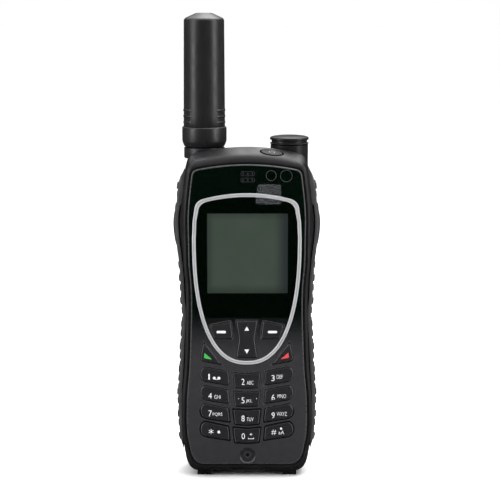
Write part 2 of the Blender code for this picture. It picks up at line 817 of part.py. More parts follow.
def rear_body(mesh):
    add_loft(
        mesh,
        [
            (REAR_FRONT_Y, rear_outline()),
            (REAR_BACK_Y - 4.2, rear_outline()),
            (REAR_BACK_Y - 1.8, rear_outline(-1.0, REAR_TOP - 0.6, CASE_BASE + 0.6)),
            (REAR_BACK_Y, rear_outline(-2.5, REAR_TOP - 1.8, CASE_BASE + 1.6)),
        ],
    )


rear_housing = make("rear_housing", "case_paint", rear_body, smooth=True)


def tower_outline(grow, apex):
    """Right-hand top corner of the rear housing, under the emergency button."""
    half = side_outline(CASE_SIDE, grow, apex, CASE_CROWN, CASE_BASE, start_x=6.0)
    half = half[len(half) - 11 :]
    low = REAR_TOP - 0.5
    edge = []
    for i in range(4):
        z = low + (half[0][1] - low) * i / 4
        edge.append((width_at(CASE_SIDE, z) + grow, z))
    return [(6.0, low)] + edge + half


def tower(mesh):
    add_loft(
        mesh,
        [
            (TOP_BACK_Y + GAP, tower_outline(-0.1, CASE_APEX - 3.6)),
            (REAR_BACK_Y - 4.2, tower_outline(-0.1, CASE_APEX - 3.6)),
            (REAR_BACK_Y - 1.8, tower_outline(-1.1, CASE_APEX - 4.2)),
            (REAR_BACK_Y - 0.1, tower_outline(-2.6, CASE_APEX - 5.4)),
        ],
    )


join(rear_housing, "add_tower", tower)
join(
    rear_housing,
    "add_sos_barrel",
    lambda m: add_lathe(m, disc(SOS_BARREL_R, SOS_BARREL_LOW_Z, SOS_BARREL_TOP_Z), upright(SOS_X, SOS_Y)),
)
join(
    rear_housing,
    "add_cover_boss",
    lambda m: add_lathe(m, disc(COVER_BOSS_R, SOS_BARREL_LOW_Z, SOS_BARREL_TOP_Z), upright(COVER_PIN_X, COVER_PIN_Y), 16),
)
join(
    rear_housing,
    "add_rear_ear",
    lambda m: ear(m, REAR_EAR_FRONT, REAR_EAR_FRONT + EAR_DEPTH - 0.25),
)


def rear_feet(mesh):
    for side in (-1, 1):
        low, high = sorted((side * FOOT_IN, side * FOOT_OUT))
        add_box(mesh, (low, REAR_FRONT_Y + 0.2, 0.0), (high, 9.0, 4.0))


join(rear_housing, "add_rear_feet", rear_feet)


def rear_cavities(mesh):
    add_box(mesh, (TOP_BAY_LEFT, 1.0, TOP_BAY_LOW_Z), (TOP_BAY_RIGHT, TOP_BAY_BACK_Y, TOP_BAY_HIGH_Z))


def bay(mesh):
    low = BATTERY_LOW_Z - GAP
    high = BATTERY_TOP_Z + GAP
    points = []
    for i in range(13):
        z = low + (high - low) * i / 12
        points.append((width_at(CASE_SIDE, z) - BAY_MARGIN, z))
    add_prism(mesh, points + [(-x, z) for x, z in reversed(points)], BAY_FLOOR_Y, BEYOND_Y)


def screw_bores(mesh):
    for x, z in SCREWS:
        shank = SCREW_R + 0.4
        head = SCREW_HEAD_R + 0.4
        profile = [(0.0, -1.0), (shank, -1.0), (shank, SCREW_SEAT_Y), (head, SCREW_SEAT_Y), (head, BEYOND_Y), (0.0, BEYOND_Y)]
        add_lathe(mesh, profile, facing_back(x, z), 20)


def rear_openings(mesh):
    for i in range(5):
        z = SPEAKER_Z - 4.4 + 2.2 * i
        half = math.sqrt(SPEAKER_R**2 - (z - SPEAKER_Z) ** 2) - 0.4
        add_box(mesh, (SPEAKER_X - half, TOP_BAY_BACK_Y - 1.8, z - 0.5), (SPEAKER_X + half, BEYOND_Y, z + 0.5))
    for half_x, middle, half_z in ((SIM_HALF_X, SIM_Z, SIM_HALF_Z), (CONTACT_HALF_X, CONTACT_Z, CONTACT_HALF_Z)):
        add_box(
            mesh,
            (-half_x - GAP, 0.0, middle - half_z - GAP),
            (half_x + GAP, BATTERY_FRONT_Y + 1.0, middle + half_z + GAP),
        )
    add_box(
        mesh,
        (-LATCH_HALF_X - GAP, LATCH_FRONT_Y - GAP, LATCH_LOW_Z - GAP),
        (LATCH_HALF_X + GAP, BEYOND_Y, LATCH_LOW_Z + LATCH_HEIGHT + LATCH_TRAVEL + GAP),
    )


cut(rear_housing, "cut_rear_cavities", rear_cavities)
cut(rear_housing, "cut_battery_bay", bay)
cut(rear_housing, "cut_screw_bores", screw_bores)
cut(rear_housing, "cut_rear_openings", rear_openings)
cut(rear_housing, "cut_rear_pin_bore", pin_bore)


def sos_bores(mesh):
    add_lathe(mesh, disc(SOS_BUTTON_R + SHAFT_GAP, SOS_SEAT_Z, SOS_TOP_Z), upright(SOS_X, SOS_Y), 28)
    add_lathe(
        mesh, disc(COVER_PIN_R + TURN_GAP, SOS_BARREL_TOP_Z - 5.1, SOS_TOP_Z), upright(COVER_PIN_X, COVER_PIN_Y), 14
    )


cut(rear_housing, "cut_sos_bores", sos_bores)

for number, (x, z) in enumerate(SCREWS, 1):
    under = SCREW_SEAT_Y + GAP
    shank = [
        (0.0, 3.4), (SCREW_R, 3.4), (SCREW_R, under), (SCREW_HEAD_R, under), (SCREW_HEAD_R, under + 1.0), (0.0, under + 1.0),
    ]
    screw = make(
        f"case_screw_{number}",
        "pin_steel",
        lambda m, x=x, z=z, shank=shank: add_lathe(m, shank, facing_back(x, z), 18),
        smooth=False,
    )
    cut(
        screw,
        f"cut_screw_slot_{number}",
        lambda m, x=x, z=z: add_box(m, (x - 1.3, SCREW_SEAT_Y + 0.8, z - 0.3), (x + 1.3, BEYOND_Y, z + 0.3)),
    )


# Grips

def grip_strip(side, grow_out, grow_in=0.2):
    """Strip of the side from the bottom of the grip to its top, as an outline."""
    outer = []
    inner = []
    steps = 22
    for i in range(steps + 1):
        z = GRIP_LOW_Z + (GRIP_TOP_Z - GRIP_LOW_Z) * i / steps
        width = width_at(CASE_SIDE, z)
        taper = min(1.0, (z - GRIP_LOW_Z) / 4.0, (GRIP_TOP_Z - z) / 4.0)
        outer.append((width + grow_in + 0.4 + (grow_out - grow_in - 0.4) * taper, z))
        inner.append((width + grow_in, z))
    points = outer + inner[::-1]
    return points if side > 0 else flipped(points)


def lens_outline(grow):
    """Long oval of a side key, as (depth, height) pairs."""
    points = []
    steps = 24
    for i in range(steps):
        angle = 2 * math.pi * i / steps
        c = math.cos(angle)
        s = math.sin(angle)
        y = (SIDE_KEY_HALF_DEPTH + grow) * math.copysign(abs(c) ** 0.9, c)
        z = (SIDE_KEY_HALF_LENGTH + grow) * math.copysign(abs(s) ** 0.9, s)
        points.append((SIDE_KEY_Y + y, SIDE_KEY_Z + z))
    return points


def add_lens(mesh, side, grow, x0, x1):
    rows = []
    for x in (x0, x1):
        rows.append([mesh.verts.new((side * x, y, z)) for y, z in lens_outline(grow)])
    count = len(rows[0])
    mesh.faces.new(rows[0])
    mesh.faces.new(rows[1])
    for i in range(count):
        j = (i + 1) % count
        mesh.faces.new((rows[0][i], rows[0][j], rows[1][j], rows[1][i]))


def stud_places():
    """(depth, height) of each tread stud, in staggered columns."""
    places = []
    for column, y in enumerate((-6.0, -2.0, 2.0, 6.0)):
        z = GRIP_LOW_Z + 5.0 + (STUD_PITCH / 2 if column % 2 else 0.0)
        while z < GRIP_TOP_Z - 4.0:
            near_key = abs(z - SIDE_KEY_Z) < SIDE_KEY_HALF_LENGTH + 3.2 and y < 1.0
            if not near_key:
                places.append((y, z))
            z += STUD_PITCH
    return places


def studs(mesh, side):
    for y, z in stud_places():
        low = width_at(CASE_SIDE, z - 1.9) + GRIP_SKIN
        high = width_at(CASE_SIDE, z + 1.9) + GRIP_SKIN
        points = [(low - 0.5, z - 1.9), (low + 0.1, z - 1.9), (low + STUD_RISE, z - 1.1)]
        points += [(high + STUD_RISE, z + 1.1), (high + 0.1, z + 1.9), (high - 0.5, z + 1.9)]
        if side < 0:
            points = flipped(points)
        add_prism(mesh, points, y - 0.7, y + 0.7)


GRIP_NAMES = {-1: "grip_left", 1: "grip_right"}
for side, grip_name in GRIP_NAMES.items():
    d = GRIP_HALF_DEPTH
    grip = make(
        grip_name,
        "grip_rubber",
        lambda m, side=side, d=d: add_loft(
            m,
            [
                (-d, grip_strip(side, GRIP_SKIN - 0.6)),
                (-d + 1.4, grip_strip(side, GRIP_SKIN)),
                (d - 1.4, grip_strip(side, GRIP_SKIN)),
                (d, grip_strip(side, GRIP_SKIN - 0.6)),
            ],
        ),
    )
    join(grip, f"add_studs_{grip_name}", lambda m, side=side: studs(m, side))
    cut(
        grip,
        f"cut_key_opening_{grip_name}",
        lambda m, side=side: add_lens(m, side, 0.4, HALF_WIDTH - 8.1, HALF_WIDTH + 7.9),
    )
    if side < 0:
        cut(
            grip,
            "cut_tilt_notch",
            lambda m: add_box(m, (-60.0, TOP_BACK_Y - 0.1, REAR_TOP), (0.0, BEYOND_Y + 4.0, CASE_APEX + 15.0)),
        )


# Side keys: a pad outside the case and a stem through its wall

SIDE_KEYS = {-1: "volume_rocker", 1: "side_key_right"}
for side, key_name in SIDE_KEYS.items():
    reach = width_at(CASE_SIDE, SIDE_KEY_Z)
    strip = []
    for grow in (GRIP_SKIN + 0.55, 0.5):
        row = []
        reach_z = SIDE_KEY_HALF_LENGTH + 0.6
        for i in range(9):
            z = SIDE_KEY_Z + reach_z * (i - 4) / 4
            dome = 0.55 * ((z - SIDE_KEY_Z) / reach_z) ** 2 if grow > 1.0 else 0.0
            row.append((width_at(CASE_SIDE, z) + grow - dome, z))
        strip += row if grow > 1.0 else row[::-1]
    if side < 0:
        strip = flipped(strip)
    key = make(
        key_name,
        "key_plastic",
        lambda m, strip=strip: add_prism(
            m, strip, SIDE_KEY_Y - SIDE_KEY_HALF_DEPTH - 1.2, SIDE_KEY_Y + SIDE_KEY_HALF_DEPTH + 1.2
        ),
        origin=(side * (reach + 0.5), SIDE_KEY_Y, SIDE_KEY_Z),
        smooth=True,
    )
    combine(
        key,
        f"trim_{key_name}",
        "INTERSECT",
        lambda m, side=side: add_lens(m, side, 0.0, HALF_WIDTH - 8.1, HALF_WIDTH + 7.9),
    )
    edges = sorted((side * (reach - 2.6), side * (reach + 1.0)))
    join(
        key,
        f"add_stem_{key_name}",
        lambda m, edges=edges: add_box(
            m,
            (edges[0], SIDE_KEY_Y - STEM_HALF_Y, SIDE_KEY_Z - STEM_HALF_Z),
            (edges[1], SIDE_KEY_Y + STEM_HALF_Y, SIDE_KEY_Z + STEM_HALF_Z),
        ),
    )


# Face keys

for key_name, (shape, rounding) in KEY_SHAPES.items():
    raised = 0.25 if key_name == "nav_rocker" else 0.0
    face = KEY_TOP_Y - raised
    levels = [
        (face, key_outline(key_name, KEY_GAP + 0.45)),
        (face + 0.2, key_outline(key_name, KEY_GAP + 0.1)),
        (face + 0.5, key_outline(key_name, KEY_GAP)),
        (KEY_BACK_Y, key_outline(key_name, KEY_GAP)),
    ]
    middle = [sum(p[i] for p in shape) / len(shape) for i in (0, 1)]
    make(
        key_name,
        "key_plastic",
        lambda m, levels=levels: add_loft(m, levels),
        origin=(middle[0], KEY_BACK_Y, middle[1]),
    )

power_button = make(
    "power_button",
    "key_plastic",
    lambda m: ellipse_solid(m, 0.0, [(-1.4, 0.0), (0.0, 0.0), (0.25, 0.35)]),
    origin=(POWER_X, POWER_Y, POWER_Z),
    rotation=POWER_TURN,
)


# Emergency button and cover

def sos_cover_profile():
    r = SOS_FLANGE_R
    top = SOS_TOP_Z
    low = SOS_BARREL_TOP_Z + 0.35
    neck = r - 0.65
    return [
        (0.0, low), (r, low), (r, low + 0.35), (neck, low + 0.55), (neck, top - 1.9),
        (r, top - 1.75), (r, top - 0.85), (r - 0.7, top - 0.45), (r * 0.6, top - 0.12), (0.0, top),
    ]


SOS_BUTTON_Z = SOS_SEAT_Z + 1.6
sos_button = make(
    "sos_button",
    "emergency_red",
    lambda m: add_lathe(
        m,
        [
            (0.0, SOS_BUTTON_Z), (SOS_BUTTON_R, SOS_BUTTON_Z), (SOS_BUTTON_R, SOS_BARREL_TOP_Z - 0.7),
            (SOS_BUTTON_R - 0.5, SOS_BARREL_TOP_Z - 0.2), (0.0, SOS_BARREL_TOP_Z - 0.2),
        ],
        upright(SOS_X, SOS_Y),
        28,
    ),
    origin=(SOS_X, SOS_Y, SOS_BUTTON_Z),
)
sos_cover = make(
    "sos_cover",
    "case_paint",
    lambda m: add_lathe(m, sos_cover_profile(), upright(SOS_X, SOS_Y), 40),
    origin=(COVER_PIN_X, COVER_PIN_Y, SOS_BARREL_TOP_Z),
    smooth=False,
)


def cover_lug(mesh):
    """Lug that reaches from the cover to its pin."""
    low = SOS_BARREL_TOP_Z + 0.35
    high = low + 1.5
    along = Vector((COVER_PIN_X - SOS_X, COVER_PIN_Y - SOS_Y)).normalized()
    across = Vector((-along.y, along.x))
    start = Vector((SOS_X, SOS_Y)) + along * (SOS_FLANGE_R - 3.0)
    lug = COVER_BOSS_R + 0.05
    points = [start - across * lug, start + across * lug]
    for i in range(9):
        angle = math.pi / 2 - math.pi * i / 8
        offset = along * math.cos(angle) + across * math.sin(angle)
        points.append(Vector((COVER_PIN_X, COVER_PIN_Y)) + offset * lug)
    rows = []
    for height in (low + 0.1, high):
        rows.append([mesh.verts.new((p.x, p.y, height)) for p in points])
    mesh.faces.new(rows[0])
    mesh.faces.new(rows[1])
    for i in range(len(points)):
        j = (i + 1) % len(points)
        mesh.faces.new((rows[0][i], rows[0][j], rows[1][j], rows[1][i]))


join(sos_cover, "add_cover_lug", cover_lug)
cut(
    sos_cover,
    "cut_lug_bore",
    lambda m: add_lathe(
        m, disc(COVER_PIN_R + TURN_GAP, SOS_BARREL_TOP_Z - 5.1, SOS_TOP_Z), upright(COVER_PIN_X, COVER_PIN_Y), 14
    ),
)
sos_cover_pin = make(
    "sos_cover_pin",
    "pin_steel",
    lambda m: add_lathe(
        m, disc(COVER_PIN_R, SOS_BARREL_TOP_Z - 4.7, SOS_BARREL_TOP_Z + 2.1), upright(COVER_PIN_X, COVER_PIN_Y), 14
    ),
    smooth=False,
)


# Antenna

def neck_barrel(mesh):
    profile = [
        (0.0, NECK_LOW_Z), (NECK_R - 0.5, NECK_LOW_Z), (NECK_R, NECK_LOW_Z + 0.5),
        (NECK_R, NECK_TOP_Z - 0.3), (NECK_R - 0.3, NECK_TOP_Z), (0.0, NECK_TOP_Z),
    ]
    add_lathe(mesh, profile, upright(ANT_X, ANT_Y), 40)


def tongue(mesh):
    points = [(EAR_R, NECK_LOW_Z + 1.0), (-EAR_R, NECK_LOW_Z + 1.0)]
    for i in range(13):
        angle = math.pi + math.pi * i / 12
        points.append((EAR_R * math.cos(angle), TILT_Z + EAR_R * math.sin(angle)))
    add_prism(mesh, moved(points, ANT_X, 0.0), TONGUE_FRONT, TONGUE_BACK)


antenna_knuckle = make(
    "antenna_knuckle", "antenna_plastic", neck_barrel, origin=(ANT_X, ANT_Y, TILT_Z), smooth=False
)
join(antenna_knuckle, "add_tongue", tongue)
cut(antenna_knuckle, "cut_tongue_bore", pin_bore)
cut(
    antenna_knuckle,
    "cut_mast_seat",
    lambda m: add_lathe(m, disc(MAST_R + GAP, MAST_LOW_Z - GAP, COLLAR_TOP_Z), upright(ANT_X, ANT_Y), 24),
)
PIN_FRONT_Y = FRONT_EAR_BACK - EAR_DEPTH + 0.2
PIN_BACK_Y = REAR_EAR_FRONT + EAR_DEPTH - 0.3
antenna_hinge_pin = make(
    "antenna_hinge_pin",
    "pin_steel",
    lambda m: add_lathe(m, disc(PIN_R, PIN_FRONT_Y, PIN_BACK_Y), facing_back(ANT_X, TILT_Z), 20),
    smooth=False,
)
antenna_mast = make(
    "antenna_mast",
    "pin_steel",
    lambda m: add_lathe(
        m,
        [(0.0, MAST_LOW_Z), (MAST_R, MAST_LOW_Z), (MAST_R, MAST_TOP_Z - 0.6), (MAST_R - 0.6, MAST_TOP_Z), (0.0, MAST_TOP_Z)],
        upright(ANT_X, ANT_Y),
        24,
    ),
    origin=(ANT_X, ANT_Y, MAST_LOW_Z),
    parent=antenna_knuckle,
)


def collar_sleeve(mesh):
    inner = MAST_R + GAP
    profile = [
        (inner, COLLAR_LOW_Z), (COLLAR_R - 0.8, COLLAR_LOW_Z), (COLLAR_R, COLLAR_LOW_Z + 2.0),
        (COLLAR_R, COLLAR_TOP_Z - 0.4), (COLLAR_R - 0.4, COLLAR_TOP_Z), (inner, COLLAR_TOP_Z),
    ]
    add_sleeve(mesh, profile, upright(ANT_X, ANT_Y), 40)


def radome(mesh):
    low = COLLAR_TOP_Z + 0.2
    top = RADOME_TOP_Z
    r = RADOME_TOP_R
    profile = [
        (0.0, top - 1.6), (r - 1.6, top - 4.2), (RADOME_LOW_R - 1.45, low), (RADOME_LOW_R, low), (r, top - 3.0),
        (r - 0.35, top - 2.3), (r - 1.0, top - 1.9), (r - 4.8, top), (0.0, top),
    ]
    add_lathe(mesh, profile, upright(ANT_X, ANT_Y), 40)


antenna_collar = make(
    "antenna_collar",
    "antenna_plastic",
    collar_sleeve,
    origin=(ANT_X, ANT_Y, COLLAR_LOW_Z),
    parent=antenna_knuckle,
)
antenna_radome = make(
    "antenna_radome",
    "antenna_plastic",
    radome,
    origin=(ANT_X, ANT_Y, COLLAR_LOW_Z),
    parent=antenna_knuckle,
)


def radome_ribs(mesh):
    """Three short grip ridges on each side of the radome."""
    for side in (-1, 1):
        for height in (COLLAR_TOP_Z + 6.8, COLLAR_TOP_Z + 4.3, COLLAR_TOP_Z + 1.9):
            rings = []
            for i in range(9):
                angle = math.radians(-52 + 104 * i / 8)
                if side < 0:
                    angle += math.pi
                ring = []
                for lift, rise in ((-0.65, -0.45), (0.05, -0.45), (0.17, 0.0), (0.05, 0.45), (-0.65, 0.45)):
                    radius = RADOME_LOW_R + lift
                    x = ANT_X + radius * math.cos(angle)
                    y = ANT_Y + radius * math.sin(angle)
                    ring.append(mesh.verts.new((x, y, height + rise)))
                rings.append(ring)
            mesh.faces.new(rings[0])
            mesh.faces.new(rings[-1])
            for a, b in zip(rings, rings[1:]):
                for k in range(5):
                    n = (k + 1) % 5
                    mesh.faces.new((a[k], a[n], b[n], b[k]))


join(antenna_radome, "add_radome_ribs", radome_ribs)
antenna_element = make(
    "antenna_element",
    "ceramic_buff",
    lambda m, bore=MAST_R + 0.5, top=MAST_TOP_Z + 0.5: add_sleeve(
        m,
        [(bore, COLLAR_TOP_Z + 1.2), (bore + ELEMENT_WALL, COLLAR_TOP_Z + 1.2), (bore + ELEMENT_WALL, top), (bore, top)],
        upright(ANT_X, ANT_Y),
        24,
    ),
    origin=(ANT_X, ANT_Y, COLLAR_LOW_Z),
    parent=antenna_knuckle,
)


# Battery and latch

def battery_body(mesh):
    def outline(inset):
        low = BATTERY_LOW_Z + inset
        high = BATTERY_TOP_Z - inset
        points = []
        for i in range(13):
            z = low + (high - low) * i / 12
            points.append((width_at(CASE_SIDE, z) - BAY_MARGIN - GAP - inset, z))
        return points + [(-x, z) for x, z in reversed(points)]

    add_loft(
        mesh,
        [
            (BATTERY_FRONT_Y, outline(0.0)), (BACK_Y - 1.7, outline(0.0)), (BACK_Y - 0.5, outline(0.8)),
            (BACK_Y, outline(2.4)),
        ],
    )


battery_pack = make(
    "battery_pack", "case_paint", battery_body, origin=(0.0, BATTERY_FRONT_Y, BATTERY_LOW_Z)
)


def latch_body(mesh):
    top = LATCH_LOW_Z + LATCH_HEIGHT
    points = [(-LATCH_HALF_X, LATCH_LOW_Z), (LATCH_HALF_X, LATCH_LOW_Z), (LATCH_HALF_X, top), (-LATCH_HALF_X, top)]
    soft = softened(points, 1.0)
    add_loft(mesh, [(LATCH_FRONT_Y, soft), (REAR_BACK_Y + 0.1, soft), (REAR_BACK_Y + 0.5, shrunk(soft, 0.4))])


battery_latch = make(
    "battery_latch", "key_plastic", latch_body, origin=(0.0, LATCH_FRONT_Y, LATCH_LOW_Z), smooth=False
)
cut(
    battery_latch,
    "cut_latch_ridges",
    lambda m: [
        add_box(
            m,
            (1.5 - LATCH_HALF_X, REAR_BACK_Y + 0.2, LATCH_LOW_Z + 1.1 + 1.2 * i),
            (LATCH_HALF_X - 1.5, BEYOND_Y, LATCH_LOW_Z + 1.6 + 1.2 * i),
        )
        for i in range(3)
    ],
)


# Bottom socket cover

def socket_cover(mesh):
    radius = (COVER_HIGH_Z - COVER_LOW_Z) / 2
    points = [(COVER_BACK_Y, COVER_LOW_Z), (COVER_BACK_Y, COVER_HIGH_Z)]
    for i in range(9):
        angle = math.pi / 2 + math.pi * i / 8
        points.append((COVER_AXIS_Y + radius * math.cos(angle), COVER_AXIS_Z + radius * math.sin(angle)))
    rows = []
    for x in (-COVER_HALF_X, COVER_HALF_X):
        rows.append([mesh.verts.new((x, y, z)) for y, z in points])
    mesh.faces.new(rows[0])
    mesh.faces.new(rows[1])
    for i in range(len(points)):
        j = (i + 1) % len(points)
        mesh.faces.new((rows[0][i], rows[0][j], rows[1][j], rows[1][i]))


connector_cover = make(
    "connector_cover",
    "grip_rubber",
    socket_cover,
    origin=(0.0, COVER_AXIS_Y, COVER_AXIS_Z),
)
dock_connector = make(
    "dock_connector",
    "inner_plastic",
    lambda m: add_box(
        m, (-SOCKET_X + GAP, SOCKET_FRONT_Y + GAP, 3.4), (SOCKET_X - GAP, SOCKET_FRONT_Y + 3.2 - GAP, 10.0)
    ),
)
cut(
    dock_connector,
    "cut_dock_slot",
    lambda m: add_box(m, (1.1 - SOCKET_X, SOCKET_FRONT_Y + 1.0, 2.0), (SOCKET_X - 1.1, SOCKET_FRONT_Y + 2.2, 8.0)),
)


# Insides

lcd_module = make(
    "lcd_module",
    "lcd_grey",
    lambda m: add_box(
        m,
        (-LCD_WIDTH / 2 - LCD_FRAME, -11.2, LCD_CENTRE_Z - LCD_HEIGHT / 2 - 2.5),
        (LCD_WIDTH / 2 + LCD_FRAME, -8.7, LCD_CENTRE_Z + LCD_HEIGHT / 2 + 1.5),
    ),
)
mat_low = LOW_ROW_Z - 6.85
mat_high = CLUSTER_Z + 8.8
mat_half = SIDE_KEY_OUT + 0.4
mat_outline = softened(
    [
        (-mat_half, mat_low), (mat_half, mat_low), (mat_half, CLUSTER_Z + 0.6), (15.5, mat_high), (-15.5, mat_high),
        (-mat_half, CLUSTER_Z + 0.6),
    ],
    3.0,
)
keypad_mat = make("keypad_mat", "silicone", lambda m: add_prism(m, mat_outline, MAT_FRONT_Y, MAT_BACK_Y))


def board(mesh):
    half = [(0.0, 12.0), (19.0, 12.0)]
    for i in range(1, 12):
        z = 16.0 + (REAR_TOP - 3.3 - 16.0) * i / 11
        half.append((width_at(PLATE_SIDE, z) - 1.6, z))
    half.append((0.0, REAR_TOP - 3.3))
    add_prism(mesh, mirrored(half), BOARD_FRONT_Y, BOARD_BACK_Y)


main_board = make("main_board", "board_green", board)
shield_can_rf = make(
    "shield_can_rf", "tin_plate", lambda m: add_box(
        m, (-19.0, BOARD_BACK_Y + GAP, WINDOW_LOW_Z + 0.6), (19.0, -4.8, WINDOW_LOW_Z + 22.6)
    )
)
shield_can_cpu = make(
    "shield_can_cpu", "tin_plate", lambda m: add_box(
        m, (-15.0, BOARD_BACK_Y + GAP, CLUSTER_Z - 22.4), (15.0, -4.8, CLUSTER_Z + 1.6)
    )
)
earpiece = make(
    "earpiece", "tin_plate", lambda m: add_box(
        m, (EARPIECE_X - 6.0, -11.1, EARPIECE_Z - 3.0), (EARPIECE_X + 6.0, -8.6, EARPIECE_Z + 2.9)
    )
)
microphone = make(
    "microphone",
    "tin_plate",
    lambda m: add_lathe(m, disc(1.5, -11.2, -9.2), facing_back(MIC_X, MIC_Z), 18),
)
loudspeaker = make(
    "loudspeaker",
    "inner_plastic",
    lambda m: add_lathe(m, disc(SPEAKER_R - 0.2, TOP_BAY_BACK_Y - 4.8, TOP_BAY_BACK_Y - 0.4), facing_back(SPEAKER_X, SPEAKER_Z + 0.7), 28),
)
gps_patch_antenna = make(
    "gps_patch_antenna",
    "ceramic_buff",
    lambda m: add_box(
        m,
        (GPS_X - GPS_HALF, TOP_BAY_BACK_Y - 5.8, TOP_BAY_LOW_Z + 0.4),
        (GPS_X + GPS_HALF, TOP_BAY_BACK_Y - 1.8, TOP_BAY_LOW_Z + 0.4 + 2 * GPS_HALF),
    ),
)
vibration_motor = make(
    "vibration_motor",
    "pin_steel",
    lambda m: add_lathe(m, disc(2.2, -6.8, -2.2), facing_back(12.0, LCD_CENTRE_Z + 3.2), 20),
)
sim_holder = make(
    "sim_holder",
    "tin_plate",
    lambda m: add_box(m, (-SIM_HALF_X, 0.3, SIM_Z - SIM_HALF_Z), (SIM_HALF_X, 2.1, SIM_Z + SIM_HALF_Z)),
)
cut(
    sim_holder,
    "cut_sim_pocket",
    lambda m: add_box(
        m, (0.9 - SIM_HALF_X, 1.0, SIM_Z - SIM_HALF_Z + 1.2), (SIM_HALF_X - 0.9, 4.0, SIM_Z + SIM_HALF_Z - 1.2)
    ),
)
sim_card = make(
    "sim_card",
    "card_white",
    lambda m: add_box(
        m, (1.2 - SIM_HALF_X, 1.3, SIM_Z - SIM_HALF_Z + 1.5), (SIM_HALF_X - 1.2, 2.06, SIM_Z + SIM_HALF_Z - 1.5)
    ),
)


battery_contacts = make(
    "battery_contacts",
    "gold_contact",
    lambda m: add_box(
        m, (-CONTACT_HALF_X, -1.0, CONTACT_Z - CONTACT_HALF_Z), (CONTACT_HALF_X, 1.9, CONTACT_Z + CONTACT_HALF_Z)
    ),
)
join(
    battery_contacts,
    "add_contact_blades",
    lambda m: [
        add_box(m, (x - 0.7, 1.0, CONTACT_Z - 1.4), (x + 0.7, BATTERY_FRONT_Y - GAP, CONTACT_Z + 1.4))
        for x in (-5.1, -1.7, 1.7, 5.1)
    ],
)
case_gasket = make(
    "case_gasket",
    "silicone",
    lambda m: add_tube(
        m,
        rear_outline(-0.35, REAR_TOP - 1.2, CASE_BASE + 0.35),
        rear_outline(-1.55, REAR_TOP - 2.4, CASE_BASE + 1.55),
        PART_LINE_Y + 0.25,
        REAR_FRONT_Y - 0.25,
    ),
)
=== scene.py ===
"""Looks for the satellite phone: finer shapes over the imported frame, materials, light and camera."""

import math

import bmesh
import bpy
from mathutils import Matrix, Vector


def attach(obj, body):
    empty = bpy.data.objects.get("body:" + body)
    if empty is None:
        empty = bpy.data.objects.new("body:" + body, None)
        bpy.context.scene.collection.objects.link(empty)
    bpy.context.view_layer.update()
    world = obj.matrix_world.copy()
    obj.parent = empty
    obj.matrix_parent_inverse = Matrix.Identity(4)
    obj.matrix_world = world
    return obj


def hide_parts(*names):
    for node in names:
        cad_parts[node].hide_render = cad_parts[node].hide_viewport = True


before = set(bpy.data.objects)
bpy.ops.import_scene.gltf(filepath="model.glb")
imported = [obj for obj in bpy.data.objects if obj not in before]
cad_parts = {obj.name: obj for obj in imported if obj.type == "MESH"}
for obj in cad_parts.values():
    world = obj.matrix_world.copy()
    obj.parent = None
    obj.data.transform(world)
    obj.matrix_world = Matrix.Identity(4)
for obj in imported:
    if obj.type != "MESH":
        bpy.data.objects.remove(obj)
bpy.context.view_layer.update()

MM = 0.001

# Clearances
GAP = 0.3
KEY_GAP = 0.35
SHAFT_GAP = 0.3
TURN_GAP = 0.25

# Layers through the depth
DEPTH = 27.4
FILM_Y = -13.5
PLATE_Y = -13.0
PLATE_BACK = -11.5
RIM_Y = -12.2
TOP_BACK_Y = -4.8
PART_LINE_Y = 0.5
REAR_FRONT_Y = 1.5
BAY_FLOOR_Y = 2.7
BACK_Y = FILM_Y + DEPTH
REAR_BACK_Y = BACK_Y - 0.7
BEYOND_Y = BACK_Y + 2.5

# Heights build up from the lowest row of keys to the top of the case
LOW_ROW_Z = 19.25
ROW_PITCH = 7.8
TOP_ROW_Z = LOW_ROW_Z + 3 * ROW_PITCH
CLUSTER_Z = TOP_ROW_Z + 15.85
WINDOW_LOW_Z = CLUSTER_Z + 9.2
LCD_WIDTH = 33.2
LCD_HEIGHT = 33.2
LCD_CENTRE_Z = WINDOW_LOW_Z + 10.05 + LCD_HEIGHT / 2
RING_APEX = LCD_CENTRE_Z + LCD_HEIGHT / 2 + 8.15
CASE_APEX = RING_APEX + 18.2
PLATE_APEX = CASE_APEX - 6.4
REAR_TOP = CASE_APEX - 16.0

# Case: (height, how far inside the widest point) stations up the side
HALF_WIDTH = 27.9
CASE_SIDE = [
    (1.8, 4.7), (9.4, 1.9), (16.9, 1.5), (25.2, 1.2), (33.5, 1.0), (TOP_ROW_Z + 3.1, 1.8),
    (CLUSTER_Z - 1.4, 2.3), (WINDOW_LOW_Z - 0.8, 3.0), (WINDOW_LOW_Z + 7.7, 2.4),
    (CASE_APEX - 54.2, 2.1), (CASE_APEX - 44.8, 1.3), (CASE_APEX - 37.8, 0.4), (CASE_APEX - 29.8, 0.0),
    (CASE_APEX - 22.8, 0.8), (CASE_APEX - 16.3, 1.5), (CASE_APEX - 10.0, 2.4), (CASE_APEX - 2.8, 4.1),
]
CASE_SIDE = [(z, HALF_WIDTH - inside) for z, inside in CASE_SIDE]
CASE_CROWN = 87.0
CASE_BASE = 1.9
CASE_WALL = 1.8
FOOT_IN = 15.0
FOOT_OUT = 20.7

# Front plate
PLATE_BASE = 5.55
PLATE_SIDE = [
    (5.55, 8.6), (14.7, 3.75), (31.9, 3.0), (TOP_ROW_Z + 3.1, 4.1), (CLUSTER_Z - 1.4, 4.55),
    (WINDOW_LOW_Z + 3.3, 4.9), (WINDOW_LOW_Z + 12.8, 4.75), (CASE_APEX - 47.8, 4.0), (CASE_APEX - 37.6, 3.8),
    (CASE_APEX - 29.0, 3.7), (CASE_APEX - 22.6, 4.05), (CASE_APEX - 16.2, 4.7), (CASE_APEX - 6.8, 5.9),
]
PLATE_SIDE = [(z, HALF_WIDTH - inside) for z, inside in PLATE_SIDE]
PLATE_CROWN = 100.0

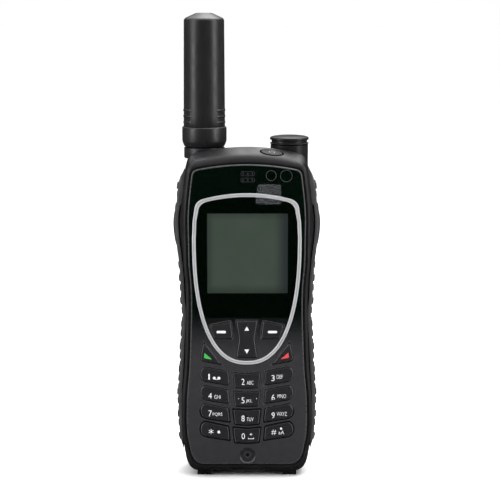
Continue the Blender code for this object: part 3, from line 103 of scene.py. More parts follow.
# Bezel ring and earpiece
RING_HALF = HALF_WIDTH - 5.55
RING_CENTRE_Z = CASE_APEX - 36.8
RING_DROP = RING_CENTRE_Z - CLUSTER_Z + 10.45
RING_POWER = 2.4
RING_CROWN = 67.0
RING_WIDTH = 1.5
EARPIECE_X = 0.3
EARPIECE_Z = PLATE_APEX - 5.1
SLOT_PITCH = 2.6
SLOT_HEIGHTS = (EARPIECE_Z - SLOT_PITCH / 2, EARPIECE_Z + SLOT_PITCH / 2)
MIC_X = 0.3
MIC_Z = 9.4
MIC_HOLE_R = 0.7

# Keys: outlines about the middle of their row or cluster; row heights are in key heights
KEY_BRIDGE = 1.0
KEY_HEIGHT = ROW_PITCH - KEY_BRIDGE
KEY_TOP_Y = -12.9
KEY_BACK_Y = -10.3
NAV_RAISED = 0.25
DIGIT_HEIGHT = 2.5
LETTER_HEIGHT = 1.6
SIDE_KEY_OUT = RING_HALF - 2.85
SIDE_SHAPE = [
    (7.5, 0.3664), (SIDE_KEY_OUT - 2.0, 0.687), (SIDE_KEY_OUT - 0.5, 0.4885), (SIDE_KEY_OUT, 0.1832),
    (SIDE_KEY_OUT - 0.5, -0.1221), (SIDE_KEY_OUT - 2.3, -0.3053), (6.9, -0.5496),
]
MIDDLE_SHAPE = [(-5.9, 0.3206), (0.0, 0.229), (5.9, 0.3206), (5.1, -0.687), (0.0, -0.7328), (-5.1, -0.687)]
SOFT_SHAPE = [(6.5, 7.85), (15.6, 6.0), (13.5, 0.1), (5.6, 0.0)]
CALL_SHAPE = [
    (SIDE_KEY_OUT - 1.7, -0.7), (SIDE_KEY_OUT - 0.1, -7.65), (SIDE_KEY_OUT - 1.0, -9.3),
    (SIDE_KEY_OUT - 9.5, -10.85),
    (SIDE_KEY_OUT - 5.7, -5.65),
]
NAV_SHAPE = [(-4.6, 7.95), (4.6, 7.95), (3.3, 0.4), (4.5, -7.75), (-4.5, -7.75), (-3.3, 0.4)]
SIDE_OPENING = [(x, TOP_ROW_Z + share * KEY_HEIGHT) for x, share in SIDE_SHAPE]
MIDDLE_OPENING = [(x, TOP_ROW_Z + share * KEY_HEIGHT) for x, share in MIDDLE_SHAPE]
SOFT_OPENING = [(x, CLUSTER_Z + rise) for x, rise in SOFT_SHAPE]
CALL_OPENING = [(x, CLUSTER_Z + rise) for x, rise in CALL_SHAPE]
NAV_OPENING = [(x, CLUSTER_Z + rise) for x, rise in NAV_SHAPE]

# Antenna: a mast on a tilting neck, with a sleeve that slides on it
RADOME_LOW_R = 8.6
RADOME_TOP_R = 8.3
RADOME_LENGTH = 46.5
COLLAR_R = RADOME_LOW_R + 0.6
NECK_R = COLLAR_R - 0.75
ANT_X = COLLAR_R - HALF_WIDTH + 1.15
ANT_Y = TOP_BACK_Y + COLLAR_R + GAP
TILT_Z = CASE_APEX - 9.8
EAR_R = 4.0
TONGUE_DEPTH = 8.0
EAR_DEPTH = 3.95
NECK_LOW_Z = TILT_Z + 4.4
NECK_TOP_Z = NECK_LOW_Z + 4.5
COLLAR_LOW_Z = NECK_TOP_Z + 0.4
COLLAR_TOP_Z = COLLAR_LOW_Z + 8.1
RADOME_TOP_Z = COLLAR_TOP_Z + RADOME_LENGTH
MAST_R = 3.6
MAST_LOW_Z = NECK_LOW_Z + 1.5
PIN_R = 1.5

# Emergency button and its swinging cover
SOS_BUTTON_R = 4.7
SOS_BARREL_R = SOS_BUTTON_R + 3.05
SOS_FLANGE_R = SOS_BARREL_R + 0.25
SOS_X = HALF_WIDTH - SOS_BARREL_R - 2.55
SOS_Y = TOP_BACK_Y + SOS_BARREL_R + 0.45
SOS_BARREL_TOP_Z = CASE_APEX + 0.3
SOS_BARREL_LOW_Z = SOS_BARREL_TOP_Z - 9.1
SOS_TOP_Z = SOS_BARREL_TOP_Z + 3.8
SOS_SEAT_Z = SOS_BARREL_TOP_Z - 6.1
COVER_PIN_R = 0.8
COVER_BOSS_R = COVER_PIN_R + 0.95
COVER_PIN_REACH = SOS_FLANGE_R + 1.36
COVER_PIN_TURN = math.radians(59.9)
COVER_PIN_X = SOS_X + COVER_PIN_REACH * math.cos(COVER_PIN_TURN)
COVER_PIN_Y = SOS_Y + COVER_PIN_REACH * math.sin(COVER_PIN_TURN)

# Power button
POWER_X = 10.2
POWER_Y = -8.0
POWER_Z = CASE_APEX - 2.1
POWER_HALF = (4.4, 1.95)
POWER_LEAN = (30.0, 6.7)

# Side keys
SIDE_KEY_Y = -3.5
SIDE_KEY_Z = REAR_TOP - 16.9
SIDE_KEY_HALF_LENGTH = 9.4
SIDE_KEY_HALF_DEPTH = 2.8
STEM_HALF_Z = SIDE_KEY_HALF_LENGTH - 2.5
STEM_HALF_Y = SIDE_KEY_HALF_DEPTH - 1.2
STEM_GAP = 0.5

# Grips
GRIP_LOW_Z = 11.0
GRIP_TOP_Z = SOS_BARREL_LOW_Z - 0.1
GRIP_HALF_DEPTH = 8.5
GRIP_SKIN = 1.9
STUD_PITCH = 9.6

# Battery, its latch and contacts
BATTERY_LOW_Z = 8.5
BATTERY_TOP_Z = REAR_TOP - 25.3
BATTERY_FRONT_Y = BAY_FLOOR_Y + GAP
BAY_MARGIN = 3.2
LATCH_HALF_X = 6.0
LATCH_LOW_Z = BATTERY_TOP_Z + 1.7
LATCH_HEIGHT = 5.6
LATCH_TRAVEL = 3.0
LATCH_FRONT_Y = REAR_BACK_Y - 1.6
CONTACT_Z = BATTERY_TOP_Z - 4.5
CONTACT_HALF_X = 7.0
CONTACT_HALF_Z = 2.0

# Insides
TOP_BAY_LEFT = ANT_X + 0.6
TOP_BAY_RIGHT = SOS_X - 0.8
TOP_BAY_LOW_Z = REAR_TOP - 15.0
TOP_BAY_HIGH_Z = REAR_TOP - 2.0
TOP_BAY_BACK_Y = REAR_BACK_Y - 2.0
SPEAKER_X = -8.0
SPEAKER_Z = REAR_TOP - 9.3
SPEAKER_R = 6.2
SIM_Z = BATTERY_TOP_Z - 25.5
SIM_HALF_X = 13.7
SIM_HALF_Z = 9.0

# Case screws: (x, height)
SCREW_X = HALF_WIDTH - 8.6
SCREW_R = 0.9
SCREW_HEAD_R = 1.9
SCREW_SEAT_Y = REAR_BACK_Y - 1.5
SCREWS = [(-SCREW_X, REAR_TOP - 16.8), (SCREW_X, REAR_TOP - 16.8), (-13.0, 5.1), (13.0, 5.1)]


# Curves in the front plane, as (x, z) pairs

def width_at(stations, z):
    """Half width at a height, on a smooth curve through the stations."""
    if z <= stations[0][0]:
        return stations[0][1]
    if z >= stations[-1][0]:
        return stations[-1][1]
    slopes = []
    for i in range(len(stations)):
        low = stations[max(i - 1, 0)]
        high = stations[min(i + 1, len(stations) - 1)]
        slopes.append((high[1] - low[1]) / (high[0] - low[0]))
    for i in range(len(stations) - 1):
        z0, w0 = stations[i]
        z1, w1 = stations[i + 1]
        if z <= z1:
            break
    span = z1 - z0
    t = (z - z0) / span
    a = (1 + 2 * t) * (1 - t) ** 2 * w0 + t * (1 - t) ** 2 * span * slopes[i]
    return a + t * t * (3 - 2 * t) * w1 + t * t * (t - 1) * span * slopes[i + 1]


def bezier(start, control, end, steps):
    """Points after the start and up to the end of a quadratic curve."""
    points = []
    for i in range(1, steps + 1):
        t = i / steps
        x = (1 - t) ** 2 * start[0] + 2 * t * (1 - t) * control[0] + t * t * end[0]
        z = (1 - t) ** 2 * start[1] + 2 * t * (1 - t) * control[1] + t * t * end[1]
        points.append((x, z))
    return points


def side_outline(stations, grow, apex, crown, base, shoulder=3.0, heel=7.0, start_x=0.0):
    """Right half of a case outline, from the bottom to the top, starting and ending at start_x."""
    corner_z = apex
    for _ in range(8):
        corner_x = width_at(stations, corner_z) + grow
        corner_z = apex - corner_x * corner_x / (2 * crown)
    low_z = base + heel
    low_x = width_at(stations, low_z) + grow
    points = [(start_x, base), (low_x - heel * 0.75, base)]
    points += bezier(points[-1], (low_x - heel * 0.12, base), (low_x, low_z), 12)
    high_z = corner_z - shoulder
    rises = 64
    for i in range(1, rises + 1):
        z = low_z + (high_z - low_z) * i / rises
        points.append((width_at(stations, z) + grow, z))
    in_x = corner_x - shoulder
    in_z = apex - in_x * in_x / (2 * crown)
    points += bezier(points[-1], (corner_x, corner_z), (in_x, in_z), 12)
    crossings = 16
    for i in range(1, crossings + 1):
        x = in_x + (start_x - in_x) * i / crossings
        points.append((x, apex - x * x / (2 * crown)))
    return points


def mirrored(half):
    """A whole outline from a right half that starts and ends on the centre line."""
    return half + [(-x, z) for x, z in reversed(half[1:-1])]


def case_outline(grow=0.0, apex=CASE_APEX, base=CASE_BASE, crown=CASE_CROWN):
    return mirrored(side_outline(CASE_SIDE, grow, apex, crown, base))


def rear_outline(grow=0.0, apex=REAR_TOP, base=CASE_BASE):
    return mirrored(side_outline(CASE_SIDE, grow, apex, 4000.0, base, shoulder=2.0))


def plate_outline(grow=0.0):
    half = side_outline(
        PLATE_SIDE, grow, PLATE_APEX + grow, PLATE_CROWN, PLATE_BASE - grow, shoulder=2.2, heel=8.0
    )
    return mirrored(half)


def ring_outline(inset=0.0, low_z=None):
    """Bezel ring outline: an arc over the display and a long U below it."""
    half_width = RING_HALF - inset
    drop = RING_DROP - inset
    apex = RING_APEX - inset
    corner_x = half_width - 1.2
    corner_z = apex - corner_x * corner_x / (2 * RING_CROWN)
    points = []
    steps = 72
    for i in range(steps + 1):
        angle = math.pi / 2 * i / steps
        x = half_width * math.sin(angle) ** (2 / RING_POWER)
        z = RING_CENTRE_Z - drop * math.cos(angle) ** (2 / RING_POWER)
        if low_z is None or z > low_z:
            points.append((x, z))
    if low_z is not None:
        reach = (RING_CENTRE_Z - low_z) / drop
        points = [(0.0, low_z), (half_width * (1 - reach**RING_POWER) ** (1 / RING_POWER), low_z)] + points
    points.append((half_width - 0.3, RING_CENTRE_Z + 7.0))
    side = (half_width - 1.0, corner_z - 3.5)
    points.append(side)
    in_x = corner_x - 3.5
    points += bezier(side, (corner_x, corner_z), (in_x, apex - in_x * in_x / (2 * RING_CROWN)), 12)
    for i in range(1, 17):
        x = in_x * (1 - i / 16)
        points.append((x, apex - x * x / (2 * RING_CROWN)))
    return mirrored(points)


def shrunk(points, inset):
    """A convex or gently waisted outline drawn in by the same amount on every side."""
    area = sum(a[0] * b[1] - b[0] * a[1] for a, b in zip(points, points[1:] + points[:1]))
    turn = 1.0 if area > 0 else -1.0
    count = len(points)
    result = []
    for i in range(count):
        before = Vector(points[i]) - Vector(points[i - 1])
        after = Vector(points[(i + 1) % count]) - Vector(points[i])
        normals = [Vector((-d.y, d.x)).normalized() * turn for d in (before, after)]
        middle = (normals[0] + normals[1]).normalized()
        step = inset / max(middle.dot(normals[0]), 0.3)
        result.append((points[i][0] + middle.x * step, points[i][1] + middle.y * step))
    return result


def softened(points, cut, steps=8):
    """The outline with every corner rounded."""
    result = []
    count = len(points)
    for i in range(count):
        here = Vector(points[i])
        ends = []
        for other in (points[i - 1], points[(i + 1) % count]):
            away = Vector(other) - here
            ends.append(here + away.normalized() * min(cut, away.length * 0.45))
        result.append(tuple(ends[0]))
        result += bezier(ends[0], here, ends[1], steps)
    return result


def rectangle(x0, x1, z0, z1):
    return [(x0, z0), (x1, z0), (x1, z1), (x0, z1)]


def flipped(points):
    return [(-x, z) for x, z in reversed(points)]


def moved(points, dx, dz):
    return [(x + dx, z + dz) for x, z in points]


# Solids, added to a bmesh in millimetres

def skin(mesh, rows, looped=False):
    """Faces between neighbouring closed rows, capped at both ends unless the rows form a loop."""
    if not looped:
        mesh.faces.new(rows[0])
        mesh.faces.new(rows[-1])
    for low, high in zip(rows, rows[1:] + rows[:1] if looped else rows[1:]):
        for i in range(len(low)):
            j = (i + 1) % len(low)
            mesh.faces.new((low[i], low[j], high[j], high[i]))


def flat_row(mesh, y, points):
    return [mesh.verts.new((x, y, z)) for x, z in points]


def level_row(mesh, z, points):
    return [mesh.verts.new((x, y, z)) for x, y in points]


def turned_row(mesh, radius, height, place, segments):
    row = []
    for i in range(segments):
        angle = 2 * math.pi * i / segments
        point = Vector((radius * math.cos(angle), radius * math.sin(angle), height))
        row.append(mesh.verts.new(place @ point))
    return row


def add_loft(mesh, rings):
    """Closed solid through rings of (y, outline), each with the same number of points."""
    skin(mesh, [flat_row(mesh, y, points) for y, points in rings])


def add_prism(mesh, points, y0, y1):
    add_loft(mesh, [(y0, points), (y1, points)])


def add_tube(mesh, outer, inner, y0, y1):
    """Band between two outlines with the same number of points."""
    edges = ((y0, outer), (y1, outer), (y1, inner), (y0, inner))
    skin(mesh, [flat_row(mesh, y, points) for y, points in edges], looped=True)


def add_box(mesh, low, high):
    add_prism(mesh, rectangle(low[0], high[0], low[2], high[2]), low[1], high[1])


def add_lathe(mesh, profile, place, segments=96):
    """Solid of revolution from (radius, height) pairs that start and end on the local Z axis."""
    rows = []
    for radius, height in profile:
        if radius < 1e-6:
            rows.append([mesh.verts.new(place @ Vector((0.0, 0.0, height)))])
        else:
            rows.append(turned_row(mesh, radius, height, place, segments))
    for low, high in zip(rows, rows[1:]):
        for i in range(segments):
            j = (i + 1) % segments
            if len(low) == 1:
                mesh.faces.new((low[0], high[i], high[j]))
            elif len(high) == 1:
                mesh.faces.new((low[i], low[j], high[0]))
            else:
                mesh.faces.new((low[i], low[j], high[j], high[i]))


def add_sleeve(mesh, profile, place, segments=96):
    """Ring of revolution from a closed loop of (radius, height) pairs, all off the axis."""
    skin(mesh, [turned_row(mesh, r, height, place, segments) for r, height in profile], looped=True)


def upright(x, y, z=0.0):
    return Matrix.Translation((x, y, z))


ANT_AXIS = upright(ANT_X, ANT_Y)
SOS_AXIS = upright(SOS_X, SOS_Y)
COVER_AXIS = upright(COVER_PIN_X, COVER_PIN_Y)


def facing_back(x, z, y=0.0):
    """Local Z along world +Y."""
    return Matrix.Translation((x, y, z)) @ Matrix.Rotation(-math.pi / 2, 4, "X")


def add_disc(mesh, radius, low, high, place, segments):
    """A plain cylinder along the local Z axis."""
    add_lathe(mesh, [(0.0, low), (radius, low), (radius, high), (0.0, high)], place, segments)


def about(middle, half):
    return middle - half, middle + half


def add_side_box(mesh, side, outwards, deep, tall):
    """A box on one side of the centre line, from (low, high) pairs."""
    low, high = sorted((side * outwards[0], side * outwards[1]))
    add_box(mesh, (low, deep[0], tall[0]), (high, deep[1], tall[1]))


# Key outlines, mirrored for the left-hand side

def key_shapes():
    """The sharp outline of every key opening and how much its corners are rounded, by key name."""
    found = {}
    rows = [
        ("key_1", "key_2", "key_3"),
        ("key_4", "key_5", "key_6"),
        ("key_7", "key_8", "key_9"),
        ("key_star", "key_0", "key_hash"),
    ]
    for row, (left, middle, right) in enumerate(rows):
        drop = -ROW_PITCH * row
        found[left] = (moved(flipped(SIDE_OPENING), 0.0, drop), 0.9)
        found[middle] = (moved(MIDDLE_OPENING, 0.0, drop), 0.9)
        found[right] = (moved(SIDE_OPENING, 0.0, drop), 0.9)
    found["soft_key_left"] = (flipped(SOFT_OPENING), 1.2)
    found["soft_key_right"] = (SOFT_OPENING, 1.2)
    found["call_key"] = (flipped(CALL_OPENING), 1.0)
    found["end_key"] = (CALL_OPENING, 1.0)
    found["nav_rocker"] = (NAV_OPENING, 1.0)
    return found


KEY_SHAPES = key_shapes()


def key_outline(name, inset):
    points, rounding = KEY_SHAPES[name]
    return softened(shrunk(points, inset), rounding)


# Making pieces

def placed(name, data):
    obj = bpy.data.objects.new(name, data)
    bpy.context.scene.collection.objects.link(obj)
    return obj


def mesh_object(name, mesh):
    """Object from a bmesh in millimetres."""
    bmesh.ops.scale(mesh, verts=mesh.verts, vec=(MM, MM, MM))
    bmesh.ops.recalc_face_normals(mesh, faces=mesh.faces)
    data = bpy.data.meshes.new(name)
    mesh.to_mesh(data)
    mesh.free()
    return placed(name, data)


def built(name, build):
    mesh = bmesh.new()
    build(mesh)
    return mesh_object(name, mesh)


def combine(target, operation, build):
    """Applies a Boolean of the target with a solid made in world millimetres."""
    tool = built("tool", build)
    modifier = target.modifiers.new("tool", "BOOLEAN")
    modifier.operation = operation
    modifier.solver = "EXACT"
    modifier.object = tool
    apply_modifiers(target)
    bpy.data.objects.remove(tool, do_unlink=True)


def cut(target, build):
    combine(target, "DIFFERENCE", build)


def join(target, build):
    combine(target, "UNION", build)


def apply_modifiers(obj):
    graph = bpy.context.evaluated_depsgraph_get()
    data = bpy.data.meshes.new_from_object(obj.evaluated_get(graph), depsgraph=graph)
    obj.modifiers.clear()
    old = obj.data
    obj.data = data
    bpy.data.meshes.remove(old)


def crease(obj, degrees=32.0):
    """Smooth shading, kept sharp at edges that turn more than this."""
    mesh = bmesh.new()
    mesh.from_mesh(obj.data)
    bmesh.ops.remove_doubles(mesh, verts=mesh.verts, dist=2e-7)
    limit = math.radians(degrees)
    for face in mesh.faces:
        face.smooth = True
    for edge in mesh.edges:
        if len(edge.link_faces) == 2:
            edge.smooth = edge.calc_face_angle(0.0) < limit
    mesh.to_mesh(obj.data)
    mesh.free()


def dress(obj, material, body, slot, *nodes):
    """Gives a piece its material, and says what it rides on and what it stands for; the slot argument is not
    used.
    """
    obj.data.materials.clear()
    obj.data.materials.append(material)
    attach(obj, body)
    if nodes:
        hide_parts(*nodes)
    return obj


# Materials

BLACK = (0.0, 0.0, 0.0)
WHITE = (1.0, 1.0, 1.0)


class Nodes:
    """Short ways to add nodes to one tree and join them."""

    def __init__(self, tree):
        self.tree = tree

    def feed(self, port, value):
        if isinstance(value, bpy.types.NodeSocket):
            self.tree.links.new(value, port)
        elif isinstance(value, tuple) and port.type == "RGBA":
            port.default_value = (*value, 1.0)
        else:
            port.default_value = value

    def add(self, kind, inputs, out=0, **settings):
        node = self.tree.nodes.new("ShaderNode" + kind)
        for key, value in settings.items():
            setattr(node, key, value)
        for key, value in inputs.items():
            self.feed(node.inputs[key], value)
        return node.outputs[out]

    def ranged(self, value, low, high, start=0.0, end=1.0, kind="LINEAR"):
        """The value carried from low...high to start...end."""
        inputs = {"Value": value, "From Min": low, "From Max": high, "To Min": start, "To Max": end}
        return self.add("MapRange", inputs, interpolation_type=kind)

    def math(self, operation, one, two=0.0):
        return self.add("Math", {0: one, 1: two}, operation=operation)

    def axes(self, vector):
        return [self.add("SeparateXYZ", {0: vector}, axis) for axis in (0, 1, 2)]


class Surface(Nodes):
    """A Principled material built up from object-space noise."""

    def __init__(self, name, colour, roughness, metallic=0.0):
        self.material = bpy.data.materials.new(name)
        self.material.use_nodes = True
        super().__init__(self.material.node_tree)
        self.shader = self.tree.nodes["Principled BSDF"]
        self.shade(Base_Color=colour, Roughness=roughness, Metallic=metallic)
        self.colour = colour
        self.roughness = roughness
        self.coords = self.tree.nodes.new("ShaderNodeTexCoord").outputs["Object"]
        self.height = None

    def shade(self, **values):
        for key, value in values.items():
            self.feed(self.shader.inputs[key.replace("_", " ")], value)
        return self

    def noise(self, scale, detail=3.0, roughness=0.55, stretch=None):
        source = self.coords
        if stretch:
            source = self.add("Mapping", {"Vector": source, "Scale": stretch})
        inputs = {"Vector": source, "Scale": scale, "Detail": detail, "Roughness": roughness}
        return self.add("TexNoise", inputs, "Fac")

    def ramp(self, factor, *stops):
        node = self.tree.nodes.new("ShaderNodeValToRGB")
        for element, (place, colour) in zip(node.color_ramp.elements, stops):
            element.position = place
            element.color = (*colour, 1.0)
        self.tree.links.new(factor, node.inputs["Fac"])
        return node.outputs["Color"]

    def mix(self, factor, one, two, blend="MIX"):
        return self.add("Mix", {0: factor, 6: one, 7: two}, 2, data_type="RGBA", blend_type=blend)

    def vary(self, scale, amount):
        """Lighter and darker patches."""
        low, high = (tuple(c * share for c in self.colour) for share in (1 - amount, 1 + amount))
        self.base = self.ramp(self.noise(scale, 5.0), (0.3, low), (0.7, high))
        return self.shade(Base_Color=self.base)

    def speckle(self, scale, colour, reach):
        """Tiny brighter grains scattered over the surface."""
        mask = self.ramp(self.noise(scale, 2.0, 0.7), (reach, BLACK), (reach + 0.06, WHITE))
        return self.shade(Base_Color=self.mix(mask, self.base, colour))

    def scuff(self, scale, spread):
        """Roughness that wanders, as handling leaves it."""
        low = max(self.roughness - spread, 0.02)
        high = min(self.roughness + spread, 1.0)
        factor = self.ramp(self.noise(scale, 6.0, 0.6), (0.35, (low,) * 3), (0.68, (high,) * 3))
        return self.shade(Roughness=factor)

    def bump(self, scale, strength, distance, detail=3.0, stretch=None):
        """Relief; calls add up."""
        relief = self.noise(scale, detail, stretch=stretch)
        inputs = {"Strength": strength, "Distance": distance * MM, "Height": relief}
        if self.height:
            inputs["Normal"] = self.height
        self.height = self.add("Bump", inputs)
        return self.shade(Normal=self.height)


CASE = Surface("case_black", (0.0085, 0.0085, 0.0095), 0.40).vary(160.0, 0.16)
CASE.speckle(5200.0, (0.022, 0.022, 0.025), 0.62).scuff(220.0, 0.07)
CASE.bump(3800.0, 0.35, 0.05, 4.0).bump(420.0, 0.12, 0.05).shade(Specular_IOR_Level=0.24)
PLATE = Surface("plate_charcoal", (0.014, 0.014, 0.017), 0.46)
# Painted highlight: a lighter grey for the plate's bevelled edges and its fine moulded lines, standing in for
# light caught on those edges
PLATE_EDGE_HIGHLIGHT = Surface("plate_edge_painted_highlight", (0.038, 0.038, 0.040), 0.30).vary(900.0, 0.15).scuff(700.0, 0.08)
PLATE_EDGE_HIGHLIGHT.bump(4200.0, 0.15, 0.02)
GRIP = Surface("grip_rubber", (0.042, 0.042, 0.044), 0.58).vary(240.0, 0.2).scuff(300.0, 0.08)
GRIP.bump(5200.0, 0.5, 0.05, 4.0).shade(Specular_IOR_Level=0.42)
RING = Surface("ring_silver", (0.52, 0.52, 0.535), 0.32, 0.30).vary(260.0, 0.03).scuff(200.0, 0.03)
RING.bump(1500.0, 0.02, 0.01, 2.0)
LENS = Surface("window_gloss", (0.004, 0.006, 0.005), 0.06)
KEY = Surface("key_plastic", (0.0150, 0.0150, 0.0168), 0.30).vary(160.0, 0.05).scuff(200.0, 0.03)
KEY.bump(5200.0, 0.06, 0.02, 2.0)
# Painted shade: near-black for the walls of the lower key openings, standing in for the shadow in the gaps
# round those keys
GAP_SHADE = Surface("gap_painted_shade", (0.0030, 0.0030, 0.0034), 0.8).vary(400.0, 0.2).bump(3000.0, 0.2, 0.03)
GAP_SHADE.shade(Specular_IOR_Level=0.1)
# Painted highlight on the left and right bevels of the keys; the same lighter grey also prints the power icon
KEY_HIGHLIGHT_AND_ICON = Surface("key_highlight_and_icon", (0.085, 0.085, 0.09), 0.30).vary(700.0, 0.15).bump(4000.0, 0.15, 0.02)
POWER = Surface("power_key_black", (0.006, 0.006, 0.007), 0.45).vary(300.0, 0.12)
POWER.bump(5200.0, 0.25, 0.04, 4.0).shade(Specular_IOR_Level=0.15)
LEGEND = Surface("legend_white", (0.70, 0.71, 0.74), 0.5).vary(2400.0, 0.08).bump(6000.0, 0.15, 0.01)
GREEN = Surface("legend_green", (0.035, 0.42, 0.06), 0.45).vary(2400.0, 0.12).bump(6000.0, 0.15, 0.01)
RED = Surface("legend_red", (0.60, 0.045, 0.05), 0.45).vary(2400.0, 0.12).bump(6000.0, 0.15, 0.01)
RADOME = Surface("antenna_black", (0.010, 0.010, 0.011), 0.38).vary(200.0, 0.14).scuff(260.0, 0.06)
RADOME.speckle(5200.0, (0.024, 0.024, 0.026), 0.63).bump(4200.0, 0.4, 0.05, 4.0)
METAL = Surface("pin_steel", (0.55, 0.55, 0.56), 0.3, 1.0).scuff(600.0, 0.1)
METAL.bump(2500.0, 0.15, 0.02, 2.0, (1.0, 1.0, 12.0))
TIN = Surface("tin_plate", (0.62, 0.62, 0.62), 0.34, 1.0).vary(150.0, 0.06).scuff(260.0, 0.12)
TIN.bump(900.0, 0.1, 0.03)
INNER = Surface("inner_black", (0.035, 0.035, 0.038), 0.55).vary(300.0, 0.1).bump(3000.0, 0.3, 0.05)
BOARD = Surface("board_green", (0.015, 0.10, 0.045), 0.4).vary(700.0, 0.4).bump(1400.0, 0.3, 0.05)
BUFF = Surface("ceramic_buff", (0.55, 0.48, 0.36), 0.6).vary(400.0, 0.12).bump(2600.0, 0.3, 0.05)
SILICONE = Surface("silicone_grey", (0.10, 0.10, 0.105), 0.6).vary(400.0, 0.1).bump(2500.0, 0.3, 0.05)
GOLD = Surface("gold_contact", (0.80, 0.55, 0.20), 0.28, 1.0).vary(900.0, 0.08).scuff(900.0, 0.1)
CARD = Surface("card_white", (0.75, 0.76, 0.78), 0.45).vary(500.0, 0.05).bump(2400.0, 0.1, 0.02)
ALERT = Surface("emergency_red", (0.45, 0.012, 0.01), 0.42).vary(500.0, 0.12).bump(4000.0, 0.3, 0.04)
DARK = Surface("battery_black", (0.020, 0.020, 0.022), 0.5).vary(200.0, 0.15).scuff(240.0, 0.06)
DARK.speckle(5000.0, (0.045, 0.045, 0.05), 0.62).bump(3400.0, 0.4, 0.06, 4.0)
FILM = Surface("film_clear", (0.55, 0.56, 0.60), 0.30).vary(120.0, 0.05).bump(60.0, 0.02, 0.02)
FILM.shade(Alpha=0.035)


def plate_look(s):
    """Matt charcoal below, deep gloss above the waist."""
    high = s.ranged(s.axes(s.coords)[2], 0.050, 0.072, kind="SMOOTHSTEP")
    grain = s.ramp(s.noise(300.0, 5.0), (0.3, (0.0205, 0.0198, 0.0235)), (0.7, (0.0260, 0.0248, 0.0295)))
    dots = s.ramp(s.noise(5200.0, 2.0, 0.7), (0.6, BLACK), (0.67, WHITE))
    matt = s.mix(dots, grain, (0.042, 0.040, 0.048))
    gloss = s.ramp(s.noise(200.0, 3.0), (0.3, (0.0005, 0.0027, 0.0014)), (0.7, (0.0008, 0.0034, 0.0019)))
    rough = s.mix(high, (0.47, 0.47, 0.47), (0.13, 0.13, 0.13))
    fade = s.ranged(high, 0.0, 1.0, 0.35, 0.02)
    relief = s.add("Bump", {"Distance": 0.04 * MM, "Strength": fade, "Height": s.noise(4200.0, 4.0)})
    s.shade(Base_Color=s.mix(high, matt, gloss), Roughness=rough, Normal=relief)


def lens_look(s):
    """Black gloss window with the grey-green display area behind it, the display with painted shade towards its
    right side and round its edges.
    """
    x, _, z = s.axes(s.coords)

    def inside(output, centre, half, soft):
        away = s.math("ABSOLUTE", s.math("SUBTRACT", output, centre * MM))
        return s.ranged(away, (half - soft) * MM, half * MM, 1.0, 0.0)

    def within(soft_x, soft_z, lift):
        across = inside(x, 0.3, LCD_WIDTH / 2, soft_x)
        return s.math("MULTIPLY", across, inside(z, LCD_CENTRE_Z + lift, LCD_HEIGHT / 2, soft_z))

    area = within(0.3, 0.3, 0.0)
    # Painted shade: the display darkens towards its right side
    shade = s.ranged(x, 0.0105, 0.0158, kind="SMOOTHSTEP")
    cloud = s.ramp(s.noise(60.0, 2.0), (0.3, (0.032, 0.045, 0.034)), (0.7, (0.038, 0.050, 0.040)))
    display = s.mix(shade, cloud, (0.020, 0.025, 0.025))
    # Painted shade: the display darkens round its edges, a little more at the bottom than at the top
    display = s.mix(within(3.0, 3.5, 0.5), s.mix(0.55, display, (0.012, 0.015, 0.014)), display)
    lines = s.add("TexWave", {"Vector": s.coords, "Scale": 900.0}, "Color", bands_direction="Z")
    display = s.mix(0.04, display, lines, "MULTIPLY")
    s.shade(Base_Color=s.mix(area, (0.0004, 0.0016, 0.0008), display))
    s.shade(Roughness=s.mix(area, (0.05, 0.05, 0.05), (0.10, 0.10, 0.10)))
    s.bump(120.0, 0.02, 0.05)


plate_look(PLATE)
lens_look(LENS)


# Front frame

def front_body(mesh):
    def lip(grow, rise, drop, shoulder, heel=8.0, crown=PLATE_CROWN):
        apex, base = PLATE_APEX + rise, PLATE_BASE - drop
        return mirrored(side_outline(PLATE_SIDE, grow, apex, crown, base, shoulder=shoulder, heel=heel))

    add_loft(
        mesh,
        [
            (RIM_Y + 0.12, lip(0.75, 0.6, 0.95, 2.5)),
            (RIM_Y, lip(0.95, 0.85, 1.15, 2.6)),
            (-11.9, lip(1.45, 1.8, 1.7, 2.8, 7.8, 97.0)),
            (-11.4, lip(2.0, 2.6, 2.3, 3.0, 7.5, 94.0)),
            (-10.8, case_outline(-1.35, CASE_APEX - 3.0, CASE_BASE + 0.7)),
            (-10.0, case_outline(-0.85, CASE_APEX - 2.45, CASE_BASE + 0.3)),
            (-9.0, case_outline(-0.45, CASE_APEX - 1.9)),
            (-7.8, case_outline(-0.2, CASE_APEX - 1.3)),
            (-6.4, case_outline(-0.05, CASE_APEX - 0.65)),
            (-5.3, case_outline(0.0, CASE_APEX - 0.15)),
            (TOP_BACK_Y, case_outline(0.0, CASE_APEX)),
            (PART_LINE_Y, case_outline()),
        ],
    )


TONGUE_FRONT = ANT_Y - TONGUE_DEPTH / 2
TONGUE_BACK = ANT_Y + TONGUE_DEPTH / 2
FRONT_EAR_BACK = TONGUE_FRONT - GAP
REAR_EAR_FRONT = TONGUE_BACK + GAP


def ear_arc(start):
    """Half a turn round the tilt pin, from a starting angle."""
    angles = [start + math.pi * i / 32 for i in range(33)]
    return [(EAR_R * math.cos(angle), TILT_Z + EAR_R * math.sin(angle)) for angle in angles]


def ear(mesh, y0, y1):
    foot = REAR_TOP - 1.6
    points = [(EAR_R, foot)] + ear_arc(0.0) + [(-EAR_R, foot)]
    add_prism(mesh, moved(points, ANT_X, 0.0), y0, y1)


def pin_bore(mesh):
    add_disc(mesh, PIN_R + SHAFT_GAP, -8.0, BEYOND_Y + 4.0, facing_back(ANT_X, TILT_Z), 40)


POWER_TURN = Matrix.Rotation(math.radians(POWER_LEAN[1]), 4, "Y") @ Matrix.Rotation(
    math.radians(POWER_LEAN[0]), 4, "X"
)


